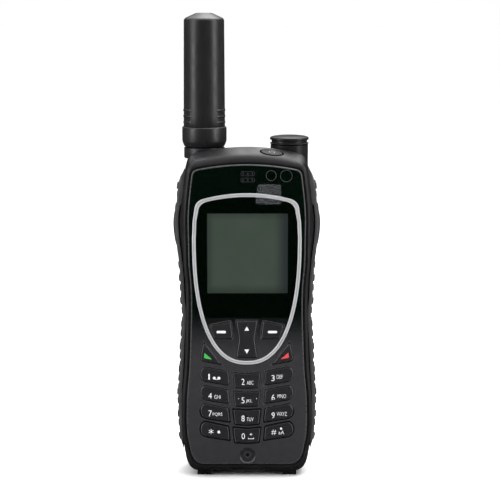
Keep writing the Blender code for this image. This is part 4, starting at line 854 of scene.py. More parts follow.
def ellipse_solid(mesh, grow, levels, count=72):
    """Elliptical button in its own frame, from (height, inset) levels."""
    rows = []
    for height, inset in levels:
        reach = [half + grow - inset for half in POWER_HALF]
        angles = [2 * math.pi * i / count for i in range(count)]
        rows.append(level_row(mesh, height, [(reach[0] * math.cos(a), reach[1] * math.sin(a)) for a in angles]))
    skin(mesh, rows)


def onto_top(mesh):
    bmesh.ops.transform(mesh, matrix=POWER_TURN, verts=mesh.verts)
    bmesh.ops.translate(mesh, verts=mesh.verts, vec=(POWER_X, POWER_Y, POWER_Z))


def power_pocket(mesh):
    ellipse_solid(mesh, KEY_GAP + 0.25, [(-1.9, 0.0), (4.0, 0.0)])
    onto_top(mesh)


COVER_HALF_X = 6.7
COVER_FRONT_Y = -8.4
COVER_BACK_Y = -1.5
COVER_HIGH_Z = 2.7


def side_key_openings(mesh):
    deep = about(SIDE_KEY_Y, STEM_HALF_Y + STEM_GAP)
    tall = about(SIDE_KEY_Z, STEM_HALF_Z + STEM_GAP)
    for side in (-1, 1):
        add_side_box(mesh, side, (HALF_WIDTH - 6.1, HALF_WIDTH + 6.0), deep, tall)


def front_cavity(mesh):
    shallow = side_outline(PLATE_SIDE, -1.0, PLATE_APEX - 1.0, PLATE_CROWN, PLATE_BASE + 1.1)
    add_loft(mesh, [(-10.1, mirrored(shallow)), (-6.3, case_outline(-2.2, CASE_APEX - 3.6, CASE_BASE + 2.0))])


def front_feet(mesh):
    for side in (-1, 1):
        add_side_box(mesh, side, (FOOT_IN, FOOT_OUT), (-9.0, PART_LINE_Y - 0.2), (0.0, 4.0))


front = built("front_frame_look", front_body)
cut(front, lambda m: add_box(m, (-60.0, TOP_BACK_Y, REAR_TOP - 0.8), (60.0, 3.0, CASE_APEX + 15.0)))
cut(front, front_cavity)
cut(front, lambda m: add_prism(m, rear_outline(-CASE_WALL, REAR_TOP - 2.4, CASE_BASE + CASE_WALL), -6.9, 2.0))
cut(front, lambda m: add_prism(m, plate_outline(KEY_GAP), -15.0, PLATE_BACK + 0.2))
cut(front, lambda m: add_prism(m, plate_outline(-1.8), -12.0, -9.0))
join(front, lambda m: ear(m, FRONT_EAR_BACK - EAR_DEPTH, FRONT_EAR_BACK))
join(front, front_feet)
cut(
    front,
    lambda m: [add_box(m, (s * 17.5 - 0.6, -20.0, -1.0), (s * 17.5 + 0.6, 8.0, 0.9)) for s in (-1, 1)],
)
cut(front, pin_bore)
cut(front, power_pocket)
cut(front, side_key_openings)
cut(front, lambda m: add_box(m, (-5.5, -6.4, 0.0), (5.5, -3.2, 6.0)))
cut(
    front,
    lambda m: add_box(
        m,
        (-COVER_HALF_X - GAP, COVER_FRONT_Y - GAP, -1.0),
        (COVER_HALF_X + GAP, COVER_BACK_Y + GAP, COVER_HIGH_Z + 0.35),
    ),
)
crease(front)
dress(front, CASE.material, "case", "case_paint", "front_frame")


# Front plate

def plate_body(mesh):
    levels = ((0.0, -0.62), (0.05, -0.4), (0.15, -0.2), (0.32, -0.05), (0.6, 0.0))
    rings = [(PLATE_Y + y, plate_outline(grow)) for y, grow in levels]
    add_loft(mesh, rings + [(PLATE_BACK, plate_outline())])


def capsule(x0, x1, z0, z1):
    return softened(rectangle(x0, x1, z0, z1), (z1 - z0) * 0.48)


def plate_openings(mesh):
    for key_name in KEY_SHAPES:
        add_prism(mesh, key_outline(key_name, 0.0), -14.0, -10.0)
    add_disc(mesh, MIC_HOLE_R, -14.0, -10.0, facing_back(MIC_X, MIC_Z), 32)


def key_rims(mesh):
    """A sloping lead-in round every key opening, a little wider above the key."""
    for key_name in KEY_SHAPES:
        add_loft(
            mesh,
            [
                (PLATE_Y - 0.05, [(x, z + 0.2) for x, z in key_outline(key_name, -0.3)]),
                (PLATE_Y + 0.1, [(x, z + 0.16) for x, z in key_outline(key_name, -0.22)]),
                (PLATE_Y + 0.3, key_outline(key_name, -0.001)),
                (PLATE_Y + 0.5, key_outline(key_name, 0.2)),
            ],
        )


def mic_dish(mesh):
    profile = [
        (0.0, -12.25), (1.0, -12.26), (1.7, -12.32), (2.4, -12.48), (2.95, -12.72), (3.3, -12.95),
        (3.45, -13.1),
        (3.5, -14.0), (0.0, -14.0),
    ]
    add_lathe(mesh, profile, facing_back(MIC_X, MIC_Z), 64)


plate = built("front_plate_look", plate_body)
cut(plate, key_rims)
cut(plate, plate_openings)
cut(plate, lambda m: add_tube(m, ring_outline(-0.12), ring_outline(RING_WIDTH + 0.12), -14.0, -12.1))
cut(plate, lambda m: add_prism(m, ring_outline(RING_WIDTH - 0.1, WINDOW_LOW_Z), -14.0, -11.95))
cut(plate, mic_dish)


def slot(x0, x1, middle, half):
    """Outline of an opening beside the middle of the earpiece."""
    return capsule(EARPIECE_X + x0, EARPIECE_X + x1, middle - half, middle + half)


def slot_recesses(mesh):
    for height in SLOT_HEIGHTS:
        add_prism(mesh, slot(-2.55, 2.75, height, 0.72), -14.0, -12.75)


cut(plate, slot_recesses)


def slot_holes(mesh):
    for height in SLOT_HEIGHTS:
        for x in (-0.85, 1.05):
            add_prism(mesh, slot(x - 0.55, x + 0.55, height, 0.4), -14.0, -10.0)


cut(plate, slot_holes)
crease(plate, 25.0)
dress(plate, PLATE.material, "case", "plate_plastic", "front_plate")
for extra in (PLATE_EDGE_HIGHLIGHT, GAP_SHADE, KEY):
    plate.data.materials.append(extra.material)
EDGE_HIGHLIGHT_INDEX, GAP_SHADE_INDEX, KEY_INDEX = 1, 2, 3
# From this height up every turned edge, round the keys too, gets the painted highlight; only the lowest key
# openings get painted shade
PAINTED_HIGHLIGHT_LOW_Z = PLATE_APEX - PLATE_CROWN - 1.5
for polygon in plate.data.polygons:
    turned = -0.985 < polygon.normal.y < -0.25
    px, py, pz = polygon.center / MM
    border = abs(px) > width_at(PLATE_SIDE, pz) - 1.2 or pz > PAINTED_HIGHLIGHT_LOW_Z or pz < PLATE_BASE + 1.5
    dish = math.hypot(px - MIC_X, pz - MIC_Z) < 3.7
    # Bevels near the plate's border and high up take the painted highlight
    if turned and border and py < PLATE_Y + 0.34:
        polygon.material_index = EDGE_HIGHLIGHT_INDEX
    elif dish and polygon.normal.y > -0.985:
        polygon.material_index = KEY_INDEX
    # Walls of the lower key openings take the painted shade
    elif not border and not dish and pz < CLUSTER_Z + 8.0 and polygon.normal.y > -0.985:
        polygon.material_index = GAP_SHADE_INDEX


def fine_lines(mesh):
    """Moulded outlines that stand a hair proud of the plate."""
    for height in SLOT_HEIGHTS:
        add_tube(mesh, slot(-2.7, 2.9, height, 0.87), slot(-2.55, 2.75, height, 0.72), -13.05, -12.9)
        for x in (-1.75, 0.1, 1.95):
            add_prism(mesh, slot(x - 0.22, x + 0.22, height, 0.45), -12.95, -12.7)
    for x, z, r in ((9.9, EARPIECE_Z + 0.5, 2.15), (16.0, EARPIECE_Z + 0.35, 2.5)):
        section = [
            (r, -12.9), (r, -13.03), (r - 0.06, -13.06), (r - 0.18, -13.06), (r - 0.24, -13.03),
            (r - 0.24, -12.9),
        ]
        add_sleeve(mesh, section, facing_back(x, z), 64)


lines = built("plate_lines", fine_lines)
crease(lines)
# The fine lines wear the plate edges' painted highlight colour
dress(lines, PLATE_EDGE_HIGHLIGHT.material, "case", "plate_plastic")


# Window and ring

def lens_body(mesh):
    add_loft(
        mesh,
        [
            (-12.97, ring_outline(RING_WIDTH + 0.3, WINDOW_LOW_Z + 0.3)),
            (-12.92, ring_outline(RING_WIDTH + 0.2, WINDOW_LOW_Z + 0.15)),
            (-12.2, ring_outline(RING_WIDTH + 0.2, WINDOW_LOW_Z + 0.15)),
        ],
    )


lens = built("window_look", lens_body)
crease(lens)
dress(lens, LENS.material, "case", "window_glass", "window_lens")


def ring_body(mesh):
    """Rounded band with a fine groove along its middle."""
    section = [
        (0.0, -12.4), (0.0, -12.95), (0.06, -13.12), (0.2, -13.22), (0.38, -13.25), (0.58, -13.23),
        (0.65, -12.95),
        (0.75, -12.9), (0.85, -12.95), (0.92, -13.23), (1.12, -13.25), (1.3, -13.22), (1.44, -13.12),
        (1.5, -12.95), (1.5, -12.4),
    ]
    skin(mesh, [flat_row(mesh, y, ring_outline(inset)) for inset, y in section], looped=True)


ring = built("bezel_ring_look", ring_body)
crease(ring, 40.0)
dress(ring, RING.material, "case", "ring_metal", "bezel_ring")


def film_body(mesh):
    low, high = RING_APEX - 4.5, RING_APEX + 3.8
    add_prism(mesh, softened([(3.6, low), (14.1, low), (13.9, high), (4.4, high)], 1.5), FILM_Y, FILM_Y + 0.08)


film = built("film_tab_look", film_body)
crease(film)
dress(film, FILM.material, "case", "film_clear", "film_tab")


# Keys and their legends

BODY_OF = {
    "nav_rocker": "navigation_key", "soft_key_left": "left_soft_key", "soft_key_right": "right_soft_key",
    "call_key": "green_call_key", "end_key": "red_end_key",
}


# Key faces: (depth below the face, how far inside the edge), up over the rim and into a shallow hollow
KEY_LEVELS = (
    (0.5, 0.0), (0.28, 0.03), (0.12, 0.12), (0.03, 0.26), (0.0, 0.42), (0.03, 0.62), (0.12, 1.0),
    (0.18, 1.35),
)


def key_body(name):
    face = KEY_TOP_Y - (NAV_RAISED if name == "nav_rocker" else 0.0)

    def build(mesh):
        g = KEY_GAP - 0.12
        rings = [(face + depth, key_outline(name, g + inset)) for depth, inset in KEY_LEVELS]
        add_loft(mesh, [(KEY_BACK_Y, key_outline(name, g))] + rings)

    return build


def legend(name, body, points_list, y, material=LEGEND):
    """Thin raised mark made of flat outlines."""
    mesh = bmesh.new()
    for points in points_list:
        add_prism(mesh, points, y - 0.02, y + 0.3)
    dress(mesh_object(name, mesh), material.material, body, "card_white")


def text(name, body, words, x, z, width, height, y, heavier=0.0):
    curve = bpy.data.curves.new(name, "FONT")
    curve.body = words
    curve.size = height * MM / 0.7
    curve.extrude = 0.02 * MM
    curve.resolution_u = 6
    curve.offset = heavier * MM
    holder = placed(name, curve)
    graph = bpy.context.evaluated_depsgraph_get()
    data = bpy.data.meshes.new_from_object(holder.evaluated_get(graph))
    bpy.data.objects.remove(holder, do_unlink=True)
    lows = [min(v.co[i] for v in data.vertices) for i in (0, 1)]
    highs = [max(v.co[i] for v in data.vertices) for i in (0, 1)]
    middle = Vector(((lows[0] + highs[0]) / 2, (lows[1] + highs[1]) / 2, 0.0))
    across = width * MM / (highs[0] - lows[0])
    up = height * MM / (highs[1] - lows[1])
    data.transform(Matrix.Translation(-middle))
    data.transform(Matrix.Diagonal((across, up, 1.0, 1.0)))
    data.transform(Matrix.Rotation(math.pi / 2, 4, "X"))
    data.transform(Matrix.Translation((x * MM, y * MM, z * MM)))
    dress(placed(name, data), LEGEND.material, body, "card_white")


def ring_points(x, z, radius, count=20):
    turns = [2 * math.pi * i / count for i in range(count)]
    return [(x + radius * math.cos(turn), z + radius * math.sin(turn)) for turn in turns]


for key_name in KEY_SHAPES:
    key = built(key_name + "_look", key_body(key_name))
    crease(key, 50.0)
    dress(key, KEY.material, BODY_OF.get(key_name, "body_" + key_name), "key_plastic", key_name)
    # Key bevels facing left and right get a painted highlight in a lighter grey
    key.data.materials.append(KEY_HIGHLIGHT_AND_ICON.material)
    for polygon in key.data.polygons:
        n = polygon.normal
        if -0.93 < n.y < -0.3 and abs(n.x) > 0.33 and polygon.center.y < (KEY_TOP_Y + 0.2) * MM:
            polygon.material_index = 1


FACE = KEY_TOP_Y + 0.15
ROWS = [TOP_ROW_Z - ROW_PITCH * i for i in range(4)]
DIGITS = [
    ("key_1", 0, "1", -15.6, 0.15, 0.6, None, 0, 0, 0),
    ("key_2", 0, "2", -1.6, -1.97, 1.3, "ABC", 1.35, -2.37, 2.8),
    ("key_3", 0, "3", 10.8, -0.4, 1.3, "DEF", 13.6, 0.13, 2.5),
    ("key_4", 1, "4", -15.2, -0.17, 1.45, "GHI", -12.15, -0.6, 2.6),
    ("key_5", 1, "5", -1.6, -2.05, 1.3, "JKL", 0.9, -2.45, 2.6),
    ("key_6", 1, "6", 10.9, -0.82, 1.3, "MNO", 14.45, -0.27, 3.5),
    ("key_7", 2, "7", -15.2, 0.23, 1.35, "PQRS", -12.15, -0.27, 4.0),
    ("key_8", 2, "8", -1.6, -1.95, 1.3, "TUV", 1.35, -2.35, 2.8),
    ("key_9", 2, "9", 10.9, -0.62, 1.3, "WXYZ", 14.45, -0.02, 4.2),
    ("key_0", 3, "0", -1.5, -1.75, 1.35, None, 0, 0, 0),
]
for key_name, row, digit, x, z, width, letters, lx, lz, reach in DIGITS:
    body = "body_" + key_name
    text("legend_" + key_name, body, digit, x, ROWS[row] + z, width, DIGIT_HEIGHT, FACE, -0.012)
    if letters:
        text("letters_" + key_name, body, letters, lx, ROWS[row] + lz, reach, LETTER_HEIGHT, FACE, -0.02)

z = ROWS[0] - 0.45
reels = [ring_points(x, z, 0.62) for x in (-13.45, -11.55)]
marks = reels + [rectangle(-13.45, -11.55, z - 0.62, z - 0.35)]
legend("legend_voicemail", "body_key_1", marks, FACE)
for i in range(3):
    angle = math.pi / 2 + math.pi * i / 3
    across = Vector((math.cos(angle), math.sin(angle)))
    side = Vector((-across.y, across.x)) * 0.11
    middle = Vector((-14.85, ROWS[3] + 0.25))
    ends = [middle + across * (a * 1.1) + side * b for a, b in ((1, 1), (-1, 1), (-1, -1), (1, -1))]
    legend(f"legend_star_{i}", "body_key_star", [[tuple(p) for p in ends]], FACE - 0.002 * i)
legend("legend_star_dot", "body_key_star", [ring_points(-11.65, ROWS[3] + 0.05, 0.6)], FACE)
for i, (x, z) in enumerate(((-4.4, -1.45), (-3.45, -1.35), (4.0, -1.35), (5.0, -1.0))):
    legend(f"legend_five_dot_{i}", "body_key_5", [ring_points(x, ROWS[1] + z, 0.17, 12)], FACE)
z = ROWS[3] - 2.95
bars = [
    rectangle(0.5, 2.9, z, z + 0.2),
    rectangle(0.5, 0.72, z + 0.2, z + 0.6),
    rectangle(2.68, 2.9, z + 0.2, z + 0.6),
    rectangle(1.15, 2.25, z + 1.9, z + 2.12),
]
legend("legend_space", "body_key_0", bars, FACE)
legend("legend_plus", "body_key_0", [rectangle(1.59, 1.81, z + 1.46, z + 2.56)], FACE - 0.003)
text("legend_key_hash", "body_key_hash", "#", 11.2, ROWS[3] - 0.1, 2.0, 2.15, FACE, -0.02)
text("letters_key_hash", "body_key_hash", "aA", 14.3, ROWS[3] - 0.15, 2.4, 1.55, FACE, -0.02)
legend("legend_hash_dot", "body_key_hash", [ring_points(14.2, ROWS[3] + 1.5, 0.48)], FACE)
z = CLUSTER_Z
legend("legend_soft_left", "left_soft_key", [capsule(-12.45, -8.65, z + 2.65, z + 3.65)], FACE)
legend("legend_soft_right", "right_soft_key", [capsule(8.65, 12.45, z + 2.65, z + 3.65)], FACE)
NAV_FACE = FACE - NAV_RAISED
for name, body, corners, rounding, face, colour in (
    ("legend_up", "navigation_key", [(-0.95, 3.8), (0.95, 3.8), (0.0, 5.5)], 0.15, NAV_FACE, LEGEND),
    ("legend_down", "navigation_key", [(-0.95, -4.1), (0.0, -5.9), (0.95, -4.1)], 0.15, NAV_FACE, LEGEND),
    ("legend_call", "green_call_key", [(-17.5, -5.6), (-17.6, -7.85), (-14.3, -8.4)], 0.25, FACE, GREEN),
    ("legend_end", "red_end_key", [(17.1, -5.5), (14.0, -8.3), (17.4, -7.7)], 0.25, FACE, RED),
):
    legend(name, body, [softened(moved(corners, 0.0, CLUSTER_Z), rounding)], face, colour)


# Power button

def power_body(mesh):
    levels = [(-1.4, 0.0), (-0.15, 0.0), (0.05, 0.06), (0.17, 0.2), (0.24, 0.45), (0.2, 0.8), (0.12, 1.2)]
    ellipse_solid(mesh, 0.1, levels)
    onto_top(mesh)


power = built("power_button_look", power_body)
crease(power, 50.0)
dress(power, POWER.material, "power_key", "key_plastic", "power_button")


def power_icon(mesh):
    """A broken circle and an upright bar."""
    arcs = []
    for radius in (1.0, 0.78):
        angles = [math.radians(125 + 290 * i / 24) for i in range(25)]
        arcs.append([(radius * math.cos(a) * 1.25, radius * math.sin(a) * 0.85) for a in angles])
    bar = [(-0.11, 0.1), (0.11, 0.1), (0.11, 1.05), (-0.11, 1.05)]
    for outline in (arcs[0] + arcs[1][::-1], bar):
        skin(mesh, [level_row(mesh, height, outline) for height in (0.1, 0.27)])
    onto_top(mesh)


icon = built("power_icon", power_icon)
# The icon is printed in the grey that also serves as the keys' painted highlight
dress(icon, KEY_HIGHLIGHT_AND_ICON.material, "power_key", "key_plastic")


# Rear housing

def rear_body(mesh):
    levels = [
        (4.8, 0.0, 0.0, 0.0), (3.6, -0.15, 0.1, 0.1), (2.6, -0.5, 0.3, 0.3), (1.8, -1.0, 0.6, 0.6),
        (0.9, -1.65, 1.1, 1.0), (0.3, -2.15, 1.5, 1.3), (0.0, -2.6, 1.9, 1.7),
    ]
    rings = [(REAR_FRONT_Y, rear_outline())]
    rings += [(REAR_BACK_Y - y, rear_outline(g, REAR_TOP - t, CASE_BASE + b)) for y, g, t, b in levels]
    add_loft(mesh, rings)


def tower_outline(grow, apex):
    half = side_outline(CASE_SIDE, grow, apex, CASE_CROWN, CASE_BASE, start_x=6.0)
    half = half[len(half) - 29 :]
    low = REAR_TOP - 0.5
    edge = []
    for i in range(8):
        z = low + (half[0][1] - low) * i / 8
        edge.append((width_at(CASE_SIDE, z) + grow, z))
    return [(6.0, low)] + edge + half


def tower(mesh):
    rings = [(TOP_BACK_Y + GAP, tower_outline(-0.35, CASE_APEX - 3.8))]
    for y, grow, drop in (
        (TOP_BACK_Y + GAP + 0.3, -0.1, 3.6), (REAR_BACK_Y - 4.8, -0.1, 3.6), (REAR_BACK_Y - 3.6, -0.25, 3.7),
        (REAR_BACK_Y - 2.6, -0.6, 3.9), (REAR_BACK_Y - 1.8, -1.1, 4.2), (REAR_BACK_Y - 0.9, -1.75, 4.7),
        (REAR_BACK_Y - 0.1, -2.6, 5.4),
    ):
        rings.append((y, tower_outline(grow, CASE_APEX - drop)))
    add_loft(mesh, rings)


def bay(mesh):
    low = BATTERY_LOW_Z - GAP
    high = BATTERY_TOP_Z + GAP
    points = []
    for i in range(49):
        z = low + (high - low) * i / 48
        points.append((width_at(CASE_SIDE, z) - BAY_MARGIN, z))
    add_prism(mesh, points + [(-x, z) for x, z in reversed(points)], BAY_FLOOR_Y, BEYOND_Y)


def screw_bores(mesh):
    shank = SCREW_R + 0.4
    head = SCREW_HEAD_R + 0.4
    for x, z in SCREWS:
        profile = [
            (0.0, -1.0), (shank, -1.0), (shank, SCREW_SEAT_Y), (head, SCREW_SEAT_Y), (head, BEYOND_Y),
            (0.0, BEYOND_Y),
        ]
        add_lathe(mesh, profile, facing_back(x, z), 48)


def rear_openings(mesh):
    for i in range(5):
        z = SPEAKER_Z - 4.4 + 2.2 * i
        half = math.sqrt(SPEAKER_R**2 - (z - SPEAKER_Z) ** 2) - 0.4
        slot = capsule(SPEAKER_X - half, SPEAKER_X + half, z - 0.5, z + 0.5)
        add_prism(mesh, slot, TOP_BAY_BACK_Y - 1.8, BEYOND_Y)
    wells = ((SIM_HALF_X, SIM_Z, SIM_HALF_Z), (CONTACT_HALF_X, CONTACT_Z, CONTACT_HALF_Z))
    for half_x, middle, half_z in wells:
        add_box(
            mesh,
            (-half_x - GAP, 0.0, middle - half_z - GAP),
            (half_x + GAP, BATTERY_FRONT_Y + 1.0, middle + half_z + GAP),
        )
    low = LATCH_LOW_Z - GAP
    high = LATCH_LOW_Z + LATCH_HEIGHT + LATCH_TRAVEL + GAP
    x = LATCH_HALF_X + GAP
    add_prism(mesh, softened(rectangle(-x, x, low, high), 1.0), LATCH_FRONT_Y - GAP, BEYOND_Y)


def sos_bores(mesh):
    add_disc(mesh, SOS_BUTTON_R + SHAFT_GAP, SOS_SEAT_Z, SOS_TOP_Z, SOS_AXIS, 64)
    low = SOS_BARREL_TOP_Z - 5.1
    add_disc(mesh, COVER_PIN_R + TURN_GAP, low, SOS_TOP_Z, COVER_AXIS, 32)


def rear_feet(mesh):
    for side in (-1, 1):
        add_side_box(mesh, side, (FOOT_IN, FOOT_OUT), (REAR_FRONT_Y + 0.2, 9.0), (0.0, 4.0))


rear = built("rear_housing_look", rear_body)
join(rear, tower)
barrel = (SOS_BARREL_LOW_Z, SOS_BARREL_TOP_Z)
join(rear, lambda m: add_disc(m, SOS_BARREL_R, *barrel, SOS_AXIS, 96))
join(rear, lambda m: add_disc(m, COVER_BOSS_R, *barrel, COVER_AXIS, 40))
join(rear, lambda m: ear(m, REAR_EAR_FRONT, REAR_EAR_FRONT + EAR_DEPTH - 0.25))
join(rear, rear_feet)
corners = ((TOP_BAY_LEFT, 1.0, TOP_BAY_LOW_Z), (TOP_BAY_RIGHT, TOP_BAY_BACK_Y, TOP_BAY_HIGH_Z))
cut(rear, lambda m: add_box(m, *corners))
cut(rear, bay)
cut(rear, screw_bores)
cut(rear, rear_openings)
cut(rear, pin_bore)
cut(rear, sos_bores)
crease(rear)
dress(rear, CASE.material, "case", "case_paint", "rear_housing")


# Grips

def grip_strip(side, grow_out, grow_in=0.2, steps=72):
    outer = []
    inner = []
    for i in range(steps + 1):
        z = GRIP_LOW_Z + (GRIP_TOP_Z - GRIP_LOW_Z) * i / steps
        width = width_at(CASE_SIDE, z)
        t = min(1.0, (z - GRIP_LOW_Z) / 4.0, (GRIP_TOP_Z - z) / 4.0)
        taper = math.sin(max(t, 0.0) * math.pi / 2)
        outer.append((width + grow_in + 0.4 + (grow_out - grow_in - 0.4) * taper, z))
        inner.append((width + grow_in, z))
    points = outer + inner[::-1]
    return points if side > 0 else flipped(points)


def squarish(y, z, half_y, half_z, power, count):
    """Points of a softened rectangle on the side of the case, as (y, z) pairs."""
    points = []
    for i in range(count):
        angle = 2 * math.pi * i / count
        c = math.cos(angle)
        s = math.sin(angle)
        deep = y + half_y * math.copysign(abs(c) ** power, c)
        points.append((deep, z + half_z * math.copysign(abs(s) ** power, s)))
    return points


def lens_outline(grow):
    half_y = SIDE_KEY_HALF_DEPTH + grow
    return squarish(SIDE_KEY_Y, SIDE_KEY_Z, half_y, SIDE_KEY_HALF_LENGTH + grow, 0.9, 64)


def add_lens(mesh, side, grow, x0, x1):
    skin(mesh, [[mesh.verts.new((side * x, y, z)) for y, z in lens_outline(grow)] for x in (x0, x1)])


def stud_places():
    places = []
    for column, y in enumerate((-6.0, -2.0, 2.0, 6.0)):
        z = GRIP_LOW_Z + 5.0 + (STUD_PITCH / 2 if column % 2 else 0.0)
        while z < GRIP_TOP_Z - 4.0:
            near_key = abs(z - SIDE_KEY_Z) < SIDE_KEY_HALF_LENGTH + 3.2 and y < 1.0
            if not near_key:
                places.append((y, z))
            z += STUD_PITCH
    return places


def add_stud(mesh, side, y, z):
    """One rounded tread stud on the grip."""
    rows = []
    for lift, half_y, half_z in (
        (-0.9, 0.75, 1.5), (-0.1, 0.75, 1.5), (0.15, 0.71, 1.45), (0.32, 0.6, 1.3), (0.41, 0.42, 1.05),
        (0.44, 0.2, 0.7),
    ):
        row = []
        for py, pz in squarish(y, z, half_y, half_z, 0.5, 20):
            x = width_at(CASE_SIDE, pz) + GRIP_SKIN + lift
            row.append(mesh.verts.new((side * x, py, pz)))
        rows.append(row)
    skin(mesh, rows)


GRIP_NAMES = {-1: "grip_left", 1: "grip_right"}
for side, grip_name in GRIP_NAMES.items():
    d = GRIP_HALF_DEPTH

    def grip_body(mesh, side=side, d=d):
        profile = [(0.0, 0.9), (0.12, 0.67), (0.4, 0.47), (0.8, 0.3), (1.4, 0.18)]
        rings = [(-d + dy, grip_strip(side, GRIP_SKIN - sink)) for dy, sink in profile]
        rings += [(d - dy, grip_strip(side, GRIP_SKIN - sink)) for dy, sink in reversed(profile)]
        add_loft(mesh, rings)

    def grip_studs(mesh, side=side):
        for y, z in stud_places():
            add_stud(mesh, side, y, z)

    grip = built(grip_name + "_look", grip_body)
    join(grip, grip_studs)
    for vertex in grip.data.vertices:
        z = vertex.co.z / MM
        wall = width_at(CASE_SIDE, max(z, GRIP_LOW_Z)) * MM
        share = min(max((z - GRIP_LOW_Z) / 7.0, 0.0), max((GRIP_TOP_Z - z) / 6.0, 0.0), 1.0)
        out = abs(vertex.co.x) - wall
        if out > 0.3 * MM:
            out = 0.3 * MM + (out - 0.3 * MM) * math.sin(share * math.pi / 2)
            vertex.co.x = side * (wall + out)
        elif z > GRIP_TOP_Z - 14.0:
            vertex.co.x -= side * 1.4 * MM
    cut(grip, lambda m, side=side: add_lens(m, side, 0.4, HALF_WIDTH - 8.1, HALF_WIDTH + 7.9))
    if side < 0:
        corners = ((-60.0, TOP_BACK_Y - 0.1, REAR_TOP), (0.0, BEYOND_Y + 4.0, CASE_APEX + 15.0))
        cut(grip, lambda m, corners=corners: add_box(m, *corners))
    crease(grip, 40.0)
    dress(grip, GRIP.material, "case", "grip_rubber", grip_name)


# Side keys

SIDE_KEYS = {-1: ("volume_rocker", "volume_key"), 1: ("side_key_right", "right_side_key")}
for side, (key_name, key_body_name) in SIDE_KEYS.items():
    reach = width_at(CASE_SIDE, SIDE_KEY_Z)

    def pad(mesh, side=side):
        """Domed oval pad that follows the side of the case."""
        rows = []
        for share, lift in (
            (1.0, 1.0), (1.0, 1.75), (0.97, 1.98), (0.9, 2.15), (0.78, 2.3), (0.6, 2.36), (0.35, 2.4),
            (0.12, 2.415),
        ):
            row = []
            for y, z in lens_outline(0.25 if share == 1.0 else 0.15):
                py = SIDE_KEY_Y + (y - SIDE_KEY_Y) * share
                pz = SIDE_KEY_Z + (z - SIDE_KEY_Z) * share
                drop = 0.5 * ((pz - SIDE_KEY_Z) / 10.0) ** 2 if lift > 1.2 else 0.0
                row.append(mesh.verts.new((side * (width_at(CASE_SIDE, pz) + lift - drop), py, pz)))
            rows.append(row)
        skin(mesh, rows)

    def stem(mesh, side=side, reach=reach):
        outwards = (reach - 2.6, reach + 1.0)
        add_side_box(mesh, side, outwards, about(SIDE_KEY_Y, STEM_HALF_Y), about(SIDE_KEY_Z, STEM_HALF_Z))

    def serrations(mesh, side=side):
        for i in range(15):
            z = SIDE_KEY_Z - 7.0 + i
            add_side_box(mesh, side, (width_at(CASE_SIDE, z) + 2.15, 40.0), (-20.0, 10.0), about(z, 0.2))

    key = built(key_name + "_look", pad)
    join(key, stem)
    if side > 0:
        cut(key, serrations)
    crease(key, 40.0)
    dress(key, KEY.material, key_body_name, "key_plastic", key_name)


# Emergency cover

def cover_profile():
    r = SOS_FLANGE_R
    top = SOS_TOP_Z
    low = SOS_BARREL_TOP_Z + 0.35
    neck = r - 0.65
    return [
        (0.0, low), (r - 0.12, low), (r, low + 0.1), (r, low + 0.28), (r - 0.1, low + 0.38),
        (neck + 0.1, low + 0.5),
        (neck, low + 0.65), (neck, top - 2.05), (neck + 0.15, top - 1.9), (r - 0.1, top - 1.78),
        (r, top - 1.68),
        (r, top - 1.0), (r - 0.12, top - 0.84), (r - 0.5, top - 0.62), (r - 1.4, top - 0.36),
        (r * 0.6, top - 0.13),
        (r * 0.3, top - 0.03), (0.0, top),
    ]


def cover_lug(mesh):
    low = SOS_BARREL_TOP_Z + 0.35
    high = low + 1.5
    along = Vector((COVER_PIN_X - SOS_X, COVER_PIN_Y - SOS_Y)).normalized()
    across = Vector((-along.y, along.x))
    start = Vector((SOS_X, SOS_Y)) + along * (SOS_FLANGE_R - 3.0)
    lug = COVER_BOSS_R + 0.05
    points = [start - across * lug, start + across * lug]
    for i in range(25):
        angle = math.pi / 2 - math.pi * i / 24
        offset = along * math.cos(angle) + across * math.sin(angle)
        points.append(Vector((COVER_PIN_X, COVER_PIN_Y)) + offset * lug)
    skin(mesh, [level_row(mesh, height, points) for height in (low + 0.1, high)])


cover = built("sos_cover_look", lambda m: add_lathe(m, cover_profile(), SOS_AXIS, 96))
join(cover, cover_lug)
cut(cover, lambda m: add_disc(m, COVER_PIN_R + TURN_GAP, 130.0, SOS_TOP_Z, COVER_AXIS, 32))
crease(cover, 40.0)
dress(cover, CASE.material, "emergency_cover", "case_paint", "sos_cover")


# Antenna

def neck_barrel(mesh):
    profile = [
        (0.0, NECK_LOW_Z), (NECK_R - 0.5, NECK_LOW_Z), (NECK_R - 0.15, NECK_LOW_Z + 0.15),
        (NECK_R, NECK_LOW_Z + 0.5),
        (NECK_R, NECK_TOP_Z - 0.4), (NECK_R - 0.12, NECK_TOP_Z - 0.1), (NECK_R - 0.4, NECK_TOP_Z),
        (0.0, NECK_TOP_Z),
    ]
    add_lathe(mesh, profile, ANT_AXIS, 96)


def tongue(mesh):
    points = [(EAR_R, NECK_LOW_Z + 1.0), (-EAR_R, NECK_LOW_Z + 1.0)] + ear_arc(math.pi)
    add_prism(mesh, moved(points, ANT_X, 0.0), TONGUE_FRONT, TONGUE_BACK)


knuckle = built("antenna_knuckle_look", neck_barrel)
join(knuckle, tongue)
cut(knuckle, pin_bore)
cut(knuckle, lambda m: add_disc(m, MAST_R + GAP, MAST_LOW_Z - GAP, COLLAR_TOP_Z, ANT_AXIS, 48))
crease(knuckle, 40.0)
dress(knuckle, RADOME.material, "antenna_neck", "antenna_plastic", "antenna_knuckle")


def with_parting_line(mesh, depth):
    """A fine vertical groove down the front and back."""
    for vertex in mesh.verts:
        x = vertex.co.x - ANT_X
        y = vertex.co.y - ANT_Y
        radius = math.hypot(x, y)
        if radius > 7.0 and abs(x) < 0.12:
            vertex.co.y -= depth * y / radius


